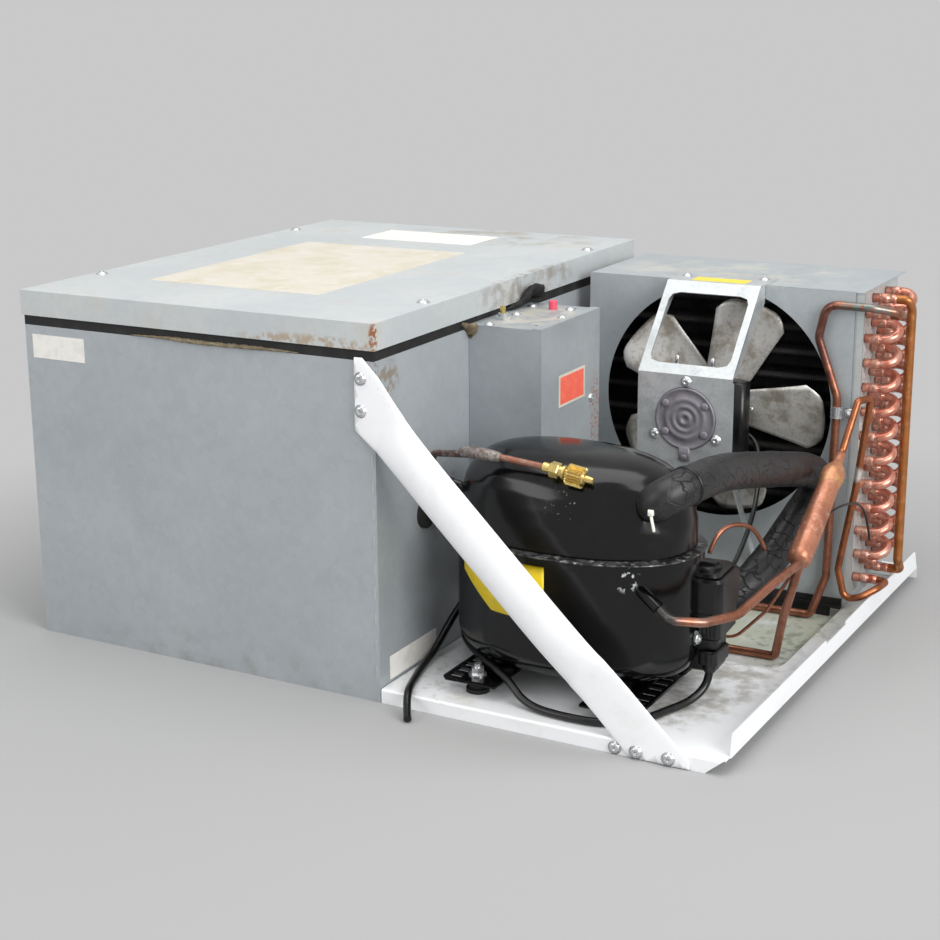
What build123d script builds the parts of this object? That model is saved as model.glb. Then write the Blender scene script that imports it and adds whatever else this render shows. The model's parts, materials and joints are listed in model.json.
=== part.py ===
"""Self-contained refrigeration deck: insulated evaporator case beside a condensing section.

Construction frame, millimetres: X = 0 is the case wall beside the condensing section, Y = 0 is the
front of the case and of the base pan, Z = 0 is the ground.  At the end every piece is moved so that
the origin is the bottom centre of the whole deck.
"""
from build123d import *
from math import atan2, cos, degrees, hypot, radians, sin
import os

os.makedirs("parts", exist_ok=True)

# ---------------------------------------------------------------- driving sizes
SHEET = 1.0                    # galvanised sheet
SEAT_GAP = 0.3                 # clearance between a soft or loose piece and its seat
RUN_GAP = 0.05                 # radial running clearance of a shaft in its bearing

CASE_W = 410.0                 # evaporator case
CASE_D = 566.0
CASE_H = 326.0
FOAM = 22.0                    # insulation inside the case walls
RIM_W = 14.0                   # in-turned rim that the gasket lies on
GASKET_H = 10.0
LID_H = 25.0
LID_OVERHANG = 2.2
AIR_W = 150.0                  # air openings in the rear wall
AIR_H = 200.0
AIR_Z = 170.0

PAN_W = 341.0                  # base pan, outside of the right flange
PAN_D = 590.0
PAN_T = 1.2
PAN_FLOOR = 14.0               # top of the floor above the ground
PAN_SIDE_TOP = 34.0
PAN_FOLD_R = 2.4
TRAY_X0, TRAY_X1 = 60.0, 311.0  # condensate tray pressed into the pan
TRAY_Y0, TRAY_Y1 = 218.0, 540.0
TRAY_DEEP = 11.0
TRAY_TAPER = 40.0

COMP_X, COMP_Y = 152.0, 105.0  # compressor centre
COMP_A, COMP_B = 113.0, 73.0   # half length and half width of the upper shell
LOWER_GROW = 5.0               # lower shell is larger by this all round
WELD_LIP = 3.0
COMP_BOTTOM = 40.0
COMP_SEAM = 158.0
COMP_TOP = 236.0
FOOT_DX, FOOT_Y0, FOOT_Y1 = 70.0, 40.0, 168.0  # mounting bolts: offset from centre, front and back
FOOT_W = 56.0
FOOT_T = 3.0
GROMMET_R = 11.0
GROMMET_H = 13.0
BOLT_R = 3.5

FAN_X, FAN_Z = 165.0, 217.0    # condenser fan axis
SHROUD_Y = 413.0               # front face of the shroud plate
SHROUD_X0, SHROUD_X1 = 19.5, 309.0
SHROUD_TOP = 347.0
SHROUD_BOTTOM = 25.0
SHROUD_BACK = 560.0
ORIFICE_R = 129.0
FAN_R = 119.0
FAN_BLADES = 5
HUB_R = 26.0

TUBE_PITCH = 25.4              # condenser coil pattern
ROW_PITCH = 22.0
COIL_ROWS = 4
COIL_TUBES = 12
COIL_Z0 = 42.0
COIL_Y0 = 441.0
COIL_TUBE_R = 4.76
FIN_T = 0.3
FIN_COUNT = 48
FIN_MARGIN = 9.0                # fin edge beyond the outermost tube centres
END_PLATE_X = 311.0
STUB = 26.0                    # from the end plate to the start of a return bend

BRACKET_W = 102.0              # folded motor bracket
BRACKET_Y = 344.0
BRACKET_T = 1.5
BRACKET_TOP_FOLD = 262.0
BRACKET_SIDE = 11.0
BRACKET_LOW = 62.0             # lower edge of the motor plate below the fan axis
MOTOR_R = 42.0
MOTOR_L = 34.0
SHAFT_R = 3.0

BOX_W, BOX_Y0, BOX_Y1 = 78.0, 176.0, 308.0     # control box on the case wall, its top just under the lid
BOX_H = 178.0
BOX_Z1 = CASE_H + 4.0
BOX_Z0 = BOX_Z1 - BOX_H
BUTTON_X, BUTTON_Y, BUTTON_R = 38.0, 284.0, 4.2
BUTTON_TRAVEL = 3.0
BUTTON_PROUD = 9.0
STEM_X, STEM_Y, STEM_R = 18.0, 214.0, 3.0
STEM_PROUD = 13.0

DISCHARGE_R = 4.2
LIQUID_R = 3.6
SUCTION_R = 6.35
HOSE_R = 17.5
CAPILLARY_R = 1.6
PROCESS_R = 3.2
DRIER_R = 10.5
CORD_R = 3.75

EVAP_X = -240.0                # evaporator coil plane
EVAP_TUBES = 9
EVAP_Z0 = 62.0
EVAP_INSET = 70.0              # coil ends from the case's front and rear
EVAP_Y0, EVAP_Y1 = EVAP_INSET, CASE_D - EVAP_INSET
EVAP_FIN_D = 50.0
EVAP_FIN_COUNT = 30
TRAY_WALL = 1.5                # drip tray under the evaporator
FAN_WALL_X = -185.0            # baffle that carries the evaporator fan
EVAP_FAN_Y, EVAP_FAN_Z = CASE_D / 2, 172.0
EVAP_FAN_R = 92.0
EVAP_BLADES = 4

SCREW_R = 2.2
SCREW_HEAD_R = 4.6
SCREW_HEAD_H = 2.6

PAN_SCREWS = [(260.0, 7.0), (290.0, 7.0), (239.0, 6.0)]   # x, z on the front flange of the pan
CASE_SCREWS = [(-13.0, CASE_H - 16.0), (-13.0, CASE_H - 46.0)]  # x, z on the front of the case
DRAIN_Y, DRAIN_Z, DRAIN_R = 322.0, 32.0, 6.0              # condensate drain through the case wall
DRAIN_HOLE_R = DRAIN_R + 0.6
LEAD_Y, LEAD_Z, LEAD_HOLE_R = 87.0, 163.0, 12.0           # grommet for the evaporator fan's lead
GROMMET_LIP = 3.0
INSIDE_X = -FOAM - 2.0                                    # where lines end just inside the insulation
LABEL_X0, LABEL_X1, LABEL_Z0, LABEL_Z1 = 66.0, 149.0, 98.0, 146.0

# ---------------------------------------------------------------- places worked out from them
LID_TOP = CASE_H + GASKET_H + LID_H
GASKET_TOP = CASE_H + GASKET_H
TRAY_FLOOR = PAN_FLOOR - TRAY_DEEP
LOWER_A, LOWER_B = COMP_A + LOWER_GROW, COMP_B + LOWER_GROW
FIN_X0, FIN_X1 = SHROUD_X0 + 6.0, END_PLATE_X - 4.0
COIL_D = ROW_PITCH * COIL_ROWS
COIL_FRONT = COIL_Y0 - ROW_PITCH / 2
COIL_BACK = COIL_FRONT + COIL_D
COIL_H = TUBE_PITCH * (COIL_TUBES - 0.5) + 2 * FIN_MARGIN
COIL_BOTTOM = COIL_Z0 - FIN_MARGIN
BEND_X = END_PLATE_X + STUB
HEADER_Y = COIL_Y0 + 1.5 * ROW_PITCH
MOTOR_BACK = BRACKET_Y + BRACKET_T + MOTOR_L
FOOT_XS = (COMP_X - FOOT_DX, COMP_X + FOOT_DX)
FOOT_Z = PAN_FLOOR + GROMMET_H
LID_SCREWS = [(x, y) for x in (-CASE_W + RIM_W / 2 + 3, -RIM_W / 2 - 5) for y in (110.0, CASE_D - 94.0)]

COIL_TOP_Z = COIL_Z0 + (COIL_TUBES - 1) * TUBE_PITCH
TRAY_LIE = TRAY_FLOOR + PAN_T + DISCHARGE_R + SEAT_GAP   # height of a tube lying in the tray
DRIER_TOP, DRIER_LOW = Vector(320, 343, 190), Vector(320, 233, 120)
DRIER_ALONG = (DRIER_TOP - DRIER_LOW).normalized()
DISCHARGE_PATH = [
    (262, 40, 124), (275, 32.4, 119), (298, 50, 115), (316, 86, 114), (327, 150, 127), (333, 200, 131),
    (306, 238, 60), (290, 266, TRAY_LIE), (150, 262, TRAY_LIE), (150, 392, TRAY_LIE),
    (282, 396, TRAY_LIE), (294, 406, 50), (297, 406, 240), (275, 406, 300),
    (282, 406, 334), (328, 404, 334), (350, 422, 328),
    (BEND_X + 13, COIL_Y0, COIL_TOP_Z), (BEND_X, COIL_Y0, COIL_TOP_Z),
]
DISCHARGE_BENDS = [8, 24, 24, 20, 8, 14, 6, 20, 20, 6, 10, 24, 16, 14, 20, 12, 6]
LIQUID_PATH = [
    (BEND_X, COIL_Y0, COIL_Z0), (BEND_X + 11, COIL_Y0 - 1, COIL_Z0), (346, 414, 42), (332, 402, 34),
    (316, 400, 30), (308, 400, 62), (322, 400, 148),
    (333, 400, 244), (325, 384, 244), tuple(DRIER_TOP + DRIER_ALONG * 16), tuple(DRIER_TOP),
]
LIQUID_BENDS = [6, 14, 14, 9, 9, 30, 5, 5, 5]
SUCTION_PATH = [
    (240, 156, 201), (243, 185, 214), (256, 242, 208), (286, 320, 184), (291, 384, 159), (281, 322, 122),
    (268, 263, 85), (240, 228, 56), (60, 230, 60), (INSIDE_X, 230, 60),
]
SUCTION_BENDS = [22, 40, 40, 20, 40, 40, 20, 60]
CAPILLARY_PATH = [
    tuple(DRIER_LOW), tuple(DRIER_LOW - DRIER_ALONG * 10), (298, 214, 74), (270, 208, 44),
    (120, 200, 40), (40, 205, 50), (INSIDE_X, 205, 50),
]
CAPILLARY_BENDS = [6, 20, 20, 20, 20]
PROCESS_PATH = [(40, 75, 199), (24, 62, 216), (34, 45, 236), (95, 45, 241), (150, 45, 236.5)]
PROCESS_BENDS = [10, 10, 20]

parts = {}


# ---------------------------------------------------------------- small helpers
def block(x0, x1, y0, y1, z0, z1):
    """A box from its low corner to its high corner."""
    return Pos((x0 + x1) / 2, (y0 + y1) / 2, (z0 + z1) / 2) * Box(x1 - x0, y1 - y0, z1 - z0)


def rod_z(x, y, z0, z1, r):
    return Pos(x, y, (z0 + z1) / 2) * Cylinder(r, z1 - z0)


def rod_y(x, z, y0, y1, r):
    return Pos(x, (y0 + y1) / 2, z) * Rot(90, 0, 0) * Cylinder(r, y1 - y0)


def rod_x(y, z, x0, x1, r):
    return Pos((x0 + x1) / 2, y, z) * Rot(0, 90, 0) * Cylinder(r, x1 - x0)


def bent_rod(points, bend, radius):
    """A round rod along straight runs joined by tangent arcs; bend is one radius or one per corner."""
    corners = len(points) - 2
    radii = bend if isinstance(bend, list) else [bend] * corners
    path = FilletPolyline(*points, radius=radii) if corners else Line(*points)
    section = Plane(origin=path @ 0, z_dir=path % 0) * Circle(radius)
    return sweep(section, path=path)


def easy_radii(points):
    """Arc radii as large as the runs beside each corner allow, for a flexible cord."""
    radii = []
    for before, at, after in zip(points, points[1:], points[2:]):
        run_in, run_out = Vector(*at) - Vector(*before), Vector(*after) - Vector(*at)
        half_turn = radians(run_in.get_angle(run_out) / 2)
        radii.append(0.45 * min(run_in.length, run_out.length) / max(sin(half_turn) / cos(half_turn), 0.02))
    return radii


def screw_z(x, y, z, length):
    """Screw pointing down with its head seated on z."""
    return rod_z(x, y, z, z + SCREW_HEAD_H, SCREW_HEAD_R) + rod_z(x, y, z - length, z, SCREW_R)


def screw_y(x, z, y, length, back=1):
    """Screw along Y with its head on the plane y; back=1 drives it towards +Y."""
    head = rod_y(x, z, min(y, y - back * SCREW_HEAD_H), max(y, y - back * SCREW_HEAD_H), SCREW_HEAD_R)
    return head + rod_y(x, z, min(y, y + back * length), max(y, y + back * length), SCREW_R)


def screw_x(y, z, x, length):
    """Screw pointing towards -X with its head on the plane x."""
    return rod_x(y, z, x, x + SCREW_HEAD_H, SCREW_HEAD_R) + rod_x(y, z, x - length, x, SCREW_R)


def group(solids):
    return Compound(list(solids))


def shell_oval(a, b, z0, z1):
    return Pos(COMP_X, COMP_Y, z0) * extrude(Ellipse(a, b), z1 - z0)


# ---------------------------------------------------------------- evaporator case
def air_openings(y0, y1):
    """The two air openings of the rear wall, as cutters between y0 and y1."""
    inner = CASE_W - 2 * FOAM
    centres = (-CASE_W + FOAM + inner * 0.24, -FOAM - inner * 0.24)
    return [block(x - AIR_W / 2, x + AIR_W / 2, y0, y1, AIR_Z - AIR_H / 2, AIR_Z + AIR_H / 2)
            for x in centres]


WALL_HOLES = [  # y, z, radius of what passes the wall beside the condensing section
    (LEAD_Y, LEAD_Z, LEAD_HOLE_R),                                   # cable grommet
    (SUCTION_PATH[-1][1], SUCTION_PATH[-1][2], HOSE_R + 0.5),        # suction line
    (CAPILLARY_PATH[-1][1], CAPILLARY_PATH[-1][2], CAPILLARY_R + 0.6),
    (DRAIN_Y, DRAIN_Z, DRAIN_HOLE_R),
]


def evaporator_case():
    body = block(-CASE_W, 0, 0, CASE_D, 0, CASE_H)
    body -= block(-CASE_W + SHEET, -SHEET, SHEET, CASE_D - SHEET, SHEET, CASE_H - SHEET)
    body -= block(-CASE_W + RIM_W, -RIM_W, RIM_W, CASE_D - RIM_W, CASE_H - 2 * SHEET, CASE_H + 1)
    for cutter in air_openings(CASE_D - 2 * SHEET, CASE_D + 1):
        body -= cutter
    for y, z, r in WALL_HOLES:
        body -= rod_x(y, z, -2 * SHEET, 1, r)
    for x, y in LID_SCREWS:
        body -= rod_z(x, y, CASE_H - 3, CASE_H + 1, SCREW_R + 0.1)
    for x, z in CASE_SCREWS:
        body -= rod_y(x, z, -1, 2 * SHEET, SCREW_R + 0.1)
    return body


def case_insulation():
    body = block(-CASE_W + SHEET, -SHEET, SHEET, CASE_D - SHEET, SHEET, CASE_H - SHEET)
    body -= block(-CASE_W + FOAM, -FOAM, FOAM, CASE_D - FOAM, FOAM, CASE_H)
    for cutter in air_openings(CASE_D - FOAM - 1, CASE_D):
        body -= cutter
    for y, z, r in WALL_HOLES:
        body -= rod_x(y, z, -FOAM - 1, 0, r)
    grommet_y, grommet_z, grommet_r = WALL_HOLES[0]
    body -= rod_x(grommet_y, grommet_z, -4, 0, grommet_r + GROMMET_LIP + SEAT_GAP)
    for x, y in LID_SCREWS:
        body -= rod_z(x, y, CASE_H - 12, CASE_H, SCREW_R + 0.3)
    return body


def case_lid():
    low = GASKET_TOP
    out = LID_OVERHANG
    body = block(-CASE_W - out, out, -out, CASE_D + out, low, LID_TOP)
    body -= block(-CASE_W - out + SHEET, out - SHEET, -out + SHEET, CASE_D + out - SHEET,
                  low - 1, LID_TOP - SHEET)
    for x, y in LID_SCREWS:
        body -= rod_z(x, y, LID_TOP - 3, LID_TOP + 1, SCREW_R + 0.3)
    return body


def lid_insulation():
    out = LID_OVERHANG - SHEET
    body = block(-CASE_W - out, out, -out, CASE_D + out, GASKET_TOP, LID_TOP - SHEET)
    for x, y in LID_SCREWS:
        body -= rod_z(x, y, GASKET_TOP - 1, LID_TOP, SCREW_R + 0.3)
    return body


def lid_gasket():
    body = block(-CASE_W, 0, 0, CASE_D, CASE_H, GASKET_TOP)
    body -= block(-CASE_W + RIM_W, -RIM_W, RIM_W, CASE_D - RIM_W, CASE_H - 1, GASKET_TOP + 1)
    for x, y in LID_SCREWS:
        body -= rod_z(x, y, CASE_H - 1, GASKET_TOP + 1, SCREW_R + 0.3)
    return body


parts["evaporator_case"] = evaporator_case()
parts["case_insulation"] = case_insulation()
parts["case_lid"] = case_lid()
parts["lid_insulation"] = lid_insulation()
parts["lid_gasket"] = lid_gasket()
parts["lid_screws"] = group(screw_z(x, y, LID_TOP, LID_H + GASKET_H + 6) for x, y in LID_SCREWS)


# ---------------------------------------------------------------- inside the case
def evaporator_tubes():
    """One serpentine: straight tubes along Y joined by half-circle bends."""
    half = TUBE_PITCH / 2
    solids = []
    for i in range(EVAP_TUBES):
        z = EVAP_Z0 + i * TUBE_PITCH
        solids.append(rod_y(EVAP_X, z, EVAP_Y0, EVAP_Y1, COIL_TUBE_R))
        if i + 1 < EVAP_TUBES:
            y, out = (EVAP_Y1, half) if i % 2 == 0 else (EVAP_Y0, -half)
            arc = ThreePointArc((EVAP_X, y, z), (EVAP_X, y + out, z + half), (EVAP_X, y, z + 2 * half))
            section = Plane(origin=arc @ 0, z_dir=arc % 0) * RegularPolygon(COIL_TUBE_R, 8)
            solids.append(sweep(section, path=arc))
    return group(solids)


def evaporator_fins():
    low, high = EVAP_Z0 - TUBE_PITCH / 2, EVAP_Z0 + (EVAP_TUBES - 0.5) * TUBE_PITCH
    first, last = EVAP_Y0 + 10, EVAP_Y1 - 10
    step = (last - first) / (EVAP_FIN_COUNT - 1)
    x0, x1 = EVAP_X - EVAP_FIN_D / 2, EVAP_X + EVAP_FIN_D / 2
    fins = [block(x0, x1, first + i * step, first + i * step + FIN_T, low, high)
            for i in range(EVAP_FIN_COUNT)]
    foot = FOAM + TRAY_WALL + SEAT_GAP
    sheets = [block(x0, x1, y, y + SHEET, foot, high) for y in (first - 6, last + 5)]
    return group(fins + sheets)


def fan_wall():
    """Baffle across the case: the evaporator fan draws through the coil and blows through it."""
    plate = block(FAN_WALL_X, FAN_WALL_X + SHEET, FOAM, CASE_D - FOAM, FOAM, CASE_H - SHEET)
    plate += block(FAN_WALL_X, FAN_WALL_X + 14, FOAM, CASE_D - FOAM, FOAM, FOAM + SHEET)
    plate -= rod_x(EVAP_FAN_Y, EVAP_FAN_Z, FAN_WALL_X - 2, FAN_WALL_X + 3, EVAP_FAN_R + 6)
    plate -= rod_x(DRAIN_Y, DRAIN_Z, FAN_WALL_X - 2, FAN_WALL_X + 20, DRAIN_HOLE_R)
    return plate


def evaporator_motor():
    """Small motor on a cross strap bolted over the fan opening."""
    back = FAN_WALL_X + SHEET
    strap = block(back, back + 2, EVAP_FAN_Y - EVAP_FAN_R - 16, EVAP_FAN_Y + EVAP_FAN_R + 16,
                  EVAP_FAN_Z - 14, EVAP_FAN_Z + 14)
    body = rod_x(EVAP_FAN_Y, EVAP_FAN_Z, back + 2, back + 48, 30)
    bore = rod_x(EVAP_FAN_Y, EVAP_FAN_Z, back - 1, back + 30, SHAFT_R + RUN_GAP)
    return strap + body - bore


def blade_ring(count, hub_r, tip_r, chord_angle, pitch, depth):
    """Pressed fan blades round +Z: each is a bent sheet cut to its outline, the hub is a cup."""
    outline = Circle(tip_r) - Circle(hub_r * 0.7)
    solids = []
    sector = make_face(Polyline((0, 0), (tip_r * 1.3, -tip_r * 1.3 * sin(radians(chord_angle / 2))),
                                (tip_r * 1.3, tip_r * 1.3 * sin(radians(chord_angle / 2))), (0, 0)))
    blank = outline & sector
    blank = fillet([v for v in blank.vertices() if hypot(v.X, v.Y) > tip_r * 0.95], tip_r * 0.22)
    cutter = extrude(blank, depth, both=True)
    bow = Plane.YZ * make_face(
        ThreePointArc((-tip_r, 0), (0, 9), (tip_r, 0))
        + Line((tip_r, 0), (tip_r, -1.4))
        + ThreePointArc((tip_r, -1.4), (0, 7.6), (-tip_r, -1.4))
        + Line((-tip_r, -1.4), (-tip_r, 0)))
    sheet = Rot(pitch, 0, 0) * Pos(0, 0, -8) * extrude(bow, tip_r * 1.4)
    one = sheet & cutter
    for i in range(count):
        solids.append(Rot(0, 0, i * 360 / count) * one)
    return solids


def evaporator_blade():
    ring = blade_ring(EVAP_BLADES, 22, EVAP_FAN_R, 66, 14, 13)
    hub = Cylinder(22, 16) - Cylinder(SHAFT_R, 30)
    blades = hub + ring
    shaft = Pos(0, 0, 10) * Cylinder(SHAFT_R, 50)
    spot = Pos(FAN_WALL_X - 14, EVAP_FAN_Y, EVAP_FAN_Z) * Rot(0, 90, 0)
    return spot * (blades + shaft)


def drip_tray():
    x0, x1, y0, y1 = EVAP_X - 34, EVAP_X + 34, EVAP_Y0 - 24, EVAP_Y1 + 24
    top = EVAP_Z0 - TUBE_PITCH / 2
    tray = block(x0, x1, y0, y1, FOAM, top) - block(x0 + TRAY_WALL, x1 - TRAY_WALL, y0 + TRAY_WALL, y1 - TRAY_WALL,
                                                     FOAM + TRAY_WALL, top + 1)
    return tray - rod_x(DRAIN_Y, DRAIN_Z, x1 - 3, x1 + 1, DRAIN_R)


def drain_tube():
    x0, x1 = EVAP_X + 34 - TRAY_WALL, TRAY_X0 + 12
    return rod_x(DRAIN_Y, DRAIN_Z, x0, x1, DRAIN_R) - rod_x(DRAIN_Y, DRAIN_Z, x0 - 1, x1 + 1, DRAIN_R - TRAY_WALL)


parts["evaporator_tubes"] = evaporator_tubes()
parts["evaporator_fins"] = evaporator_fins()
parts["evaporator_fan_wall"] = fan_wall()
parts["evaporator_fan_motor"] = evaporator_motor()
parts["evaporator_fan_blade"] = evaporator_blade()
parts["drip_tray"] = drip_tray()
parts["drain_tube"] = drain_tube()


def wall_grommet():
    """Rubber bush in the case wall with a lip on each side of the sheet."""
    lips = rod_x(LEAD_Y, LEAD_Z, -2.5, 3.5, LEAD_HOLE_R + GROMMET_LIP) - rod_x(LEAD_Y, LEAD_Z, -SHEET, 0, 20)
    return lips + rod_x(LEAD_Y, LEAD_Z, -SHEET, 0, LEAD_HOLE_R) - rod_x(LEAD_Y, LEAD_Z, -6, 6, CORD_R + SEAT_GAP)


parts["wall_grommet"] = wall_grommet()


# ---------------------------------------------------------------- base pan and brace
def base_pan():
    """Folded sheet: flanges down at the front and back, one up at the right, tray pressed in."""
    side = make_face(Polyline((0, 0), (0, PAN_FLOOR), (PAN_D, PAN_FLOOR), (PAN_D, 0),
                              (PAN_D - PAN_T, 0), (PAN_D - PAN_T, PAN_FLOOR - PAN_T),
                              (PAN_T, PAN_FLOOR - PAN_T), (PAN_T, 0), (0, 0)))
    side = fillet([v for v in side.vertices() if v.Y > PAN_FLOOR - 0.1], PAN_FOLD_R)
    pan = Pos(SHEET, 0, 0) * extrude(Plane.YZ * side, PAN_W - SHEET - PAN_T)
    # chamfered lower corner of the front flange
    corner = make_face(Polyline((PAN_W, -1), (PAN_W - 20, -1), (PAN_W, PAN_FLOOR + 2), (PAN_W, -1)))
    pan -= extrude(Plane.XZ * corner, 3, both=True)
    pan += block(SHEET, SHEET + PAN_T, PAN_T, PAN_D - PAN_T, 0, PAN_FLOOR - PAN_T)
    wall = make_face(Polyline((12, PAN_FLOOR - PAN_T), (16, PAN_SIDE_TOP), (266, PAN_SIDE_TOP),
                              (266, PAN_SIDE_TOP - 4), (327, PAN_SIDE_TOP - 4), (327, PAN_SIDE_TOP),
                              (PAN_D - 15, PAN_SIDE_TOP), (PAN_D - 5, PAN_FLOOR - PAN_T),
                              (12, PAN_FLOOR - PAN_T)))
    pan += Pos(PAN_W - PAN_T, 0, 0) * extrude(Plane.YZ * wall, PAN_T)
    w, d = TRAY_X1 - TRAY_X0, TRAY_Y1 - TRAY_Y0
    centre = Pos((TRAY_X0 + TRAY_X1) / 2, (TRAY_Y0 + TRAY_Y1) / 2, PAN_FLOOR)
    outer = extrude(RectangleRounded(w, d, 22), -TRAY_DEEP, taper=TRAY_TAPER)
    inner = extrude(RectangleRounded(w - 2 * PAN_T, d - 2 * PAN_T, 22 - PAN_T), -TRAY_DEEP + PAN_T,
                    taper=TRAY_TAPER)
    pan += centre * outer
    pan -= centre * inner
    for x in FOOT_XS:
        for y in (FOOT_Y0, FOOT_Y1):
            pan -= rod_z(x, y, 0, PAN_FLOOR + 1, BOLT_R + 0.2)
    for x, z in PAN_SCREWS:
        pan -= rod_y(x, z, -1, 3, SCREW_R + 0.2)
    return pan


BRACE_FLAT = 2.4
BRACE_THICK = 12.0
BRACE_WIDE = 25.0


def brace_tube():
    """Round tube crushed flat at both ends, from the case front to the front flange of the pan."""
    top = CASE_H + 3.0
    flat_top = make_face(Polyline((-19.5, top - 54), (-19.5, top), (-3, top - 5), (98, top - 108),
                                  (83, top - 147), (-2.4, top - 71.6), (-19.5, top - 54)))
    flat_foot = make_face(Polyline((167, 144), (225, 82), (309, 12), (309, 1), (250, 1), (206, 54),
                                   (147.5, 116), (167, 144)))
    a, b = Vector(40, 0, top - 73), Vector(206, 0, 78)
    lean = degrees(atan2(b.Z - a.Z, b.X - a.X))
    middle = Plane.XZ * (Pos((a.X + b.X) / 2, (a.Z + b.Z) / 2) * Rot(0, 0, lean)
                         * SlotOverall((b - a).length + BRACE_WIDE, BRACE_WIDE))
    body = extrude(Plane.XZ * flat_top, BRACE_FLAT) + extrude(Plane.XZ * flat_foot, BRACE_FLAT)
    tube = extrude(middle, BRACE_THICK)
    tube = fillet(tube.edges().group_by(Axis.Y)[0], 8.0)
    body += tube
    body -= rod_y(10.5, top - 31.5, -5, 1, 4)
    for x, z in CASE_SCREWS + PAN_SCREWS[:2]:
        body -= rod_y(x, z, -5, 1, SCREW_R + 0.2)
    return body


parts["base_pan"] = base_pan()
parts["brace_tube"] = brace_tube()


def brace_screws():
    on_case = [screw_y(x, z, -BRACE_FLAT, BRACE_FLAT + 0.8) for x, z in CASE_SCREWS]
    on_pan = [screw_y(x, z, -BRACE_FLAT, BRACE_FLAT + 6) for x, z in PAN_SCREWS[:2]]
    last_x, last_z = PAN_SCREWS[2]
    return group(on_case + on_pan + [screw_y(last_x, last_z, 0, 8)])


parts["brace_screws"] = brace_screws()


# ---------------------------------------------------------------- compressor
def lower_shell():
    body = shell_oval(LOWER_A, LOWER_B, COMP_BOTTOM, COMP_SEAM)
    body = fillet(body.edges().group_by(Axis.Z)[0], 26)
    body += shell_oval(LOWER_A + WELD_LIP, LOWER_B + WELD_LIP, COMP_SEAM - 7, COMP_SEAM)
    body += stub(DISCHARGE_PATH[0], DISCHARGE_PATH[1], DISCHARGE_R + 1.6, 40)
    return body


def stub(end, toward, radius, back):
    """Short steel stub brazed into a shell: ends at a point, reaches back into the shell."""
    along = (Vector(*toward) - Vector(*end)).normalized()
    start = Vector(*end) - along * back
    return Plane(origin=start, z_dir=along) * extrude(Circle(radius), back)


def upper_shell():
    """Drawn dome: straight skirt, then oval sections that draw in to a small flat top."""
    rise = COMP_TOP - COMP_SEAM
    levels = [(0, 1, 1), (0.26, 0.99, 0.985), (0.58, 0.92, 0.89), (0.8, 0.77, 0.69), (0.94, 0.52, 0.43),
              (1, 0.28, 0.22)]
    sections = [Pos(COMP_X, COMP_Y, COMP_SEAM + rise * up) * Ellipse(COMP_A * along, COMP_B * across)
                for up, along, across in levels]
    body = loft(sections)
    body += stub(SUCTION_PATH[0], SUCTION_PATH[1], SUCTION_R + 1.2, 30)
    body += stub(PROCESS_PATH[0], PROCESS_PATH[1], PROCESS_R + 1.2, 26)
    return body


def compressor_base():
    """Two channels under the shell with upturned ends and slots, each standing on two grommets."""
    solids = []
    for x in FOOT_XS:
        strip = block(x - FOOT_W / 2, x + FOOT_W / 2, FOOT_Y0 - 20, FOOT_Y1 + 18, FOOT_Z, FOOT_Z + FOOT_T)
        toward = 1 if x < COMP_X else -1
        rib = block(x - 12 + toward * 12, x + 12 + toward * 12, COMP_Y - 34, COMP_Y + 34,
                    FOOT_Z + FOOT_T, COMP_BOTTOM)
        strip += rib
        for y in (FOOT_Y0, FOOT_Y1):
            strip -= rod_z(x, y, FOOT_Z - 1, FOOT_Z + FOOT_T + 1, BOLT_R + 0.2)
        for side in (-1, 1):
            slot = Pos(x + side * 18, FOOT_Y0 + 4, FOOT_Z) * extrude(SlotOverall(14, 6), 8, both=True)
            strip -= slot
        solids.append(strip)
    return group(solids)


def at_feet(make):
    return group(make(x, y) for x in FOOT_XS for y in (FOOT_Y0, FOOT_Y1))


def grommet(x, y):
    return (rod_z(x, y, PAN_FLOOR, FOOT_Z, GROMMET_R) - rod_z(x, y, PAN_FLOOR + 4, FOOT_Z - 4, 30)
            + rod_z(x, y, PAN_FLOOR, FOOT_Z, GROMMET_R - 3)
            - rod_z(x, y, 0, 60, BOLT_R + 0.2))


def foot_bolt(x, y):
    """Stud from under the pan with a washer and a hexagon nut on the foot."""
    top = FOOT_Z + FOOT_T
    nut = Pos(x, y, top + 1.5) * extrude(RegularPolygon(6.4, 6), 6)
    return rod_z(x, y, PAN_FLOOR - PAN_T - 4, top + 11, BOLT_R) + rod_z(x, y, top, top + 1.5, 8.5) + nut \
        + rod_z(x, y, PAN_FLOOR - PAN_T - 4, PAN_FLOOR - PAN_T, 6.5)


parts["compressor_lower_shell"] = lower_shell()
parts["compressor_upper_shell"] = upper_shell()
parts["compressor_base"] = compressor_base()
parts["compressor_grommets"] = at_feet(grommet)
parts["compressor_bolts"] = at_feet(foot_bolt)

CLAMP_X, CLAMP_Y, CLAMP_Z = 280.0, 116.0, 48.0
COVER_X1, COVER_Y0, COVER_Y1, COVER_Z0, COVER_Z1 = 290.0, 128.0, 205.0, 60.0, 130.0


def terminal_cover():
    """Moulded cover over the terminals, shaped to the shell on its inner side."""
    body = block(COMP_X + 60, COVER_X1, COVER_Y0, COVER_Y1, COVER_Z0, COVER_Z1)
    body = fillet(body.edges().filter_by(Axis.Z), 8)
    body = fillet(body.edges().group_by(Axis.Z)[-1], 4)
    body -= shell_oval(LOWER_A + SEAT_GAP, LOWER_B + SEAT_GAP, COMP_BOTTOM, COMP_SEAM - 7)
    return body


def start_relay():
    body = block(COVER_X1 - 32, COVER_X1 - 2, COVER_Y0 + 12, COVER_Y1 - 9, 32, COVER_Z0 - SEAT_GAP)
    return fillet(body.edges().filter_by(Axis.Z), 5)


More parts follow.
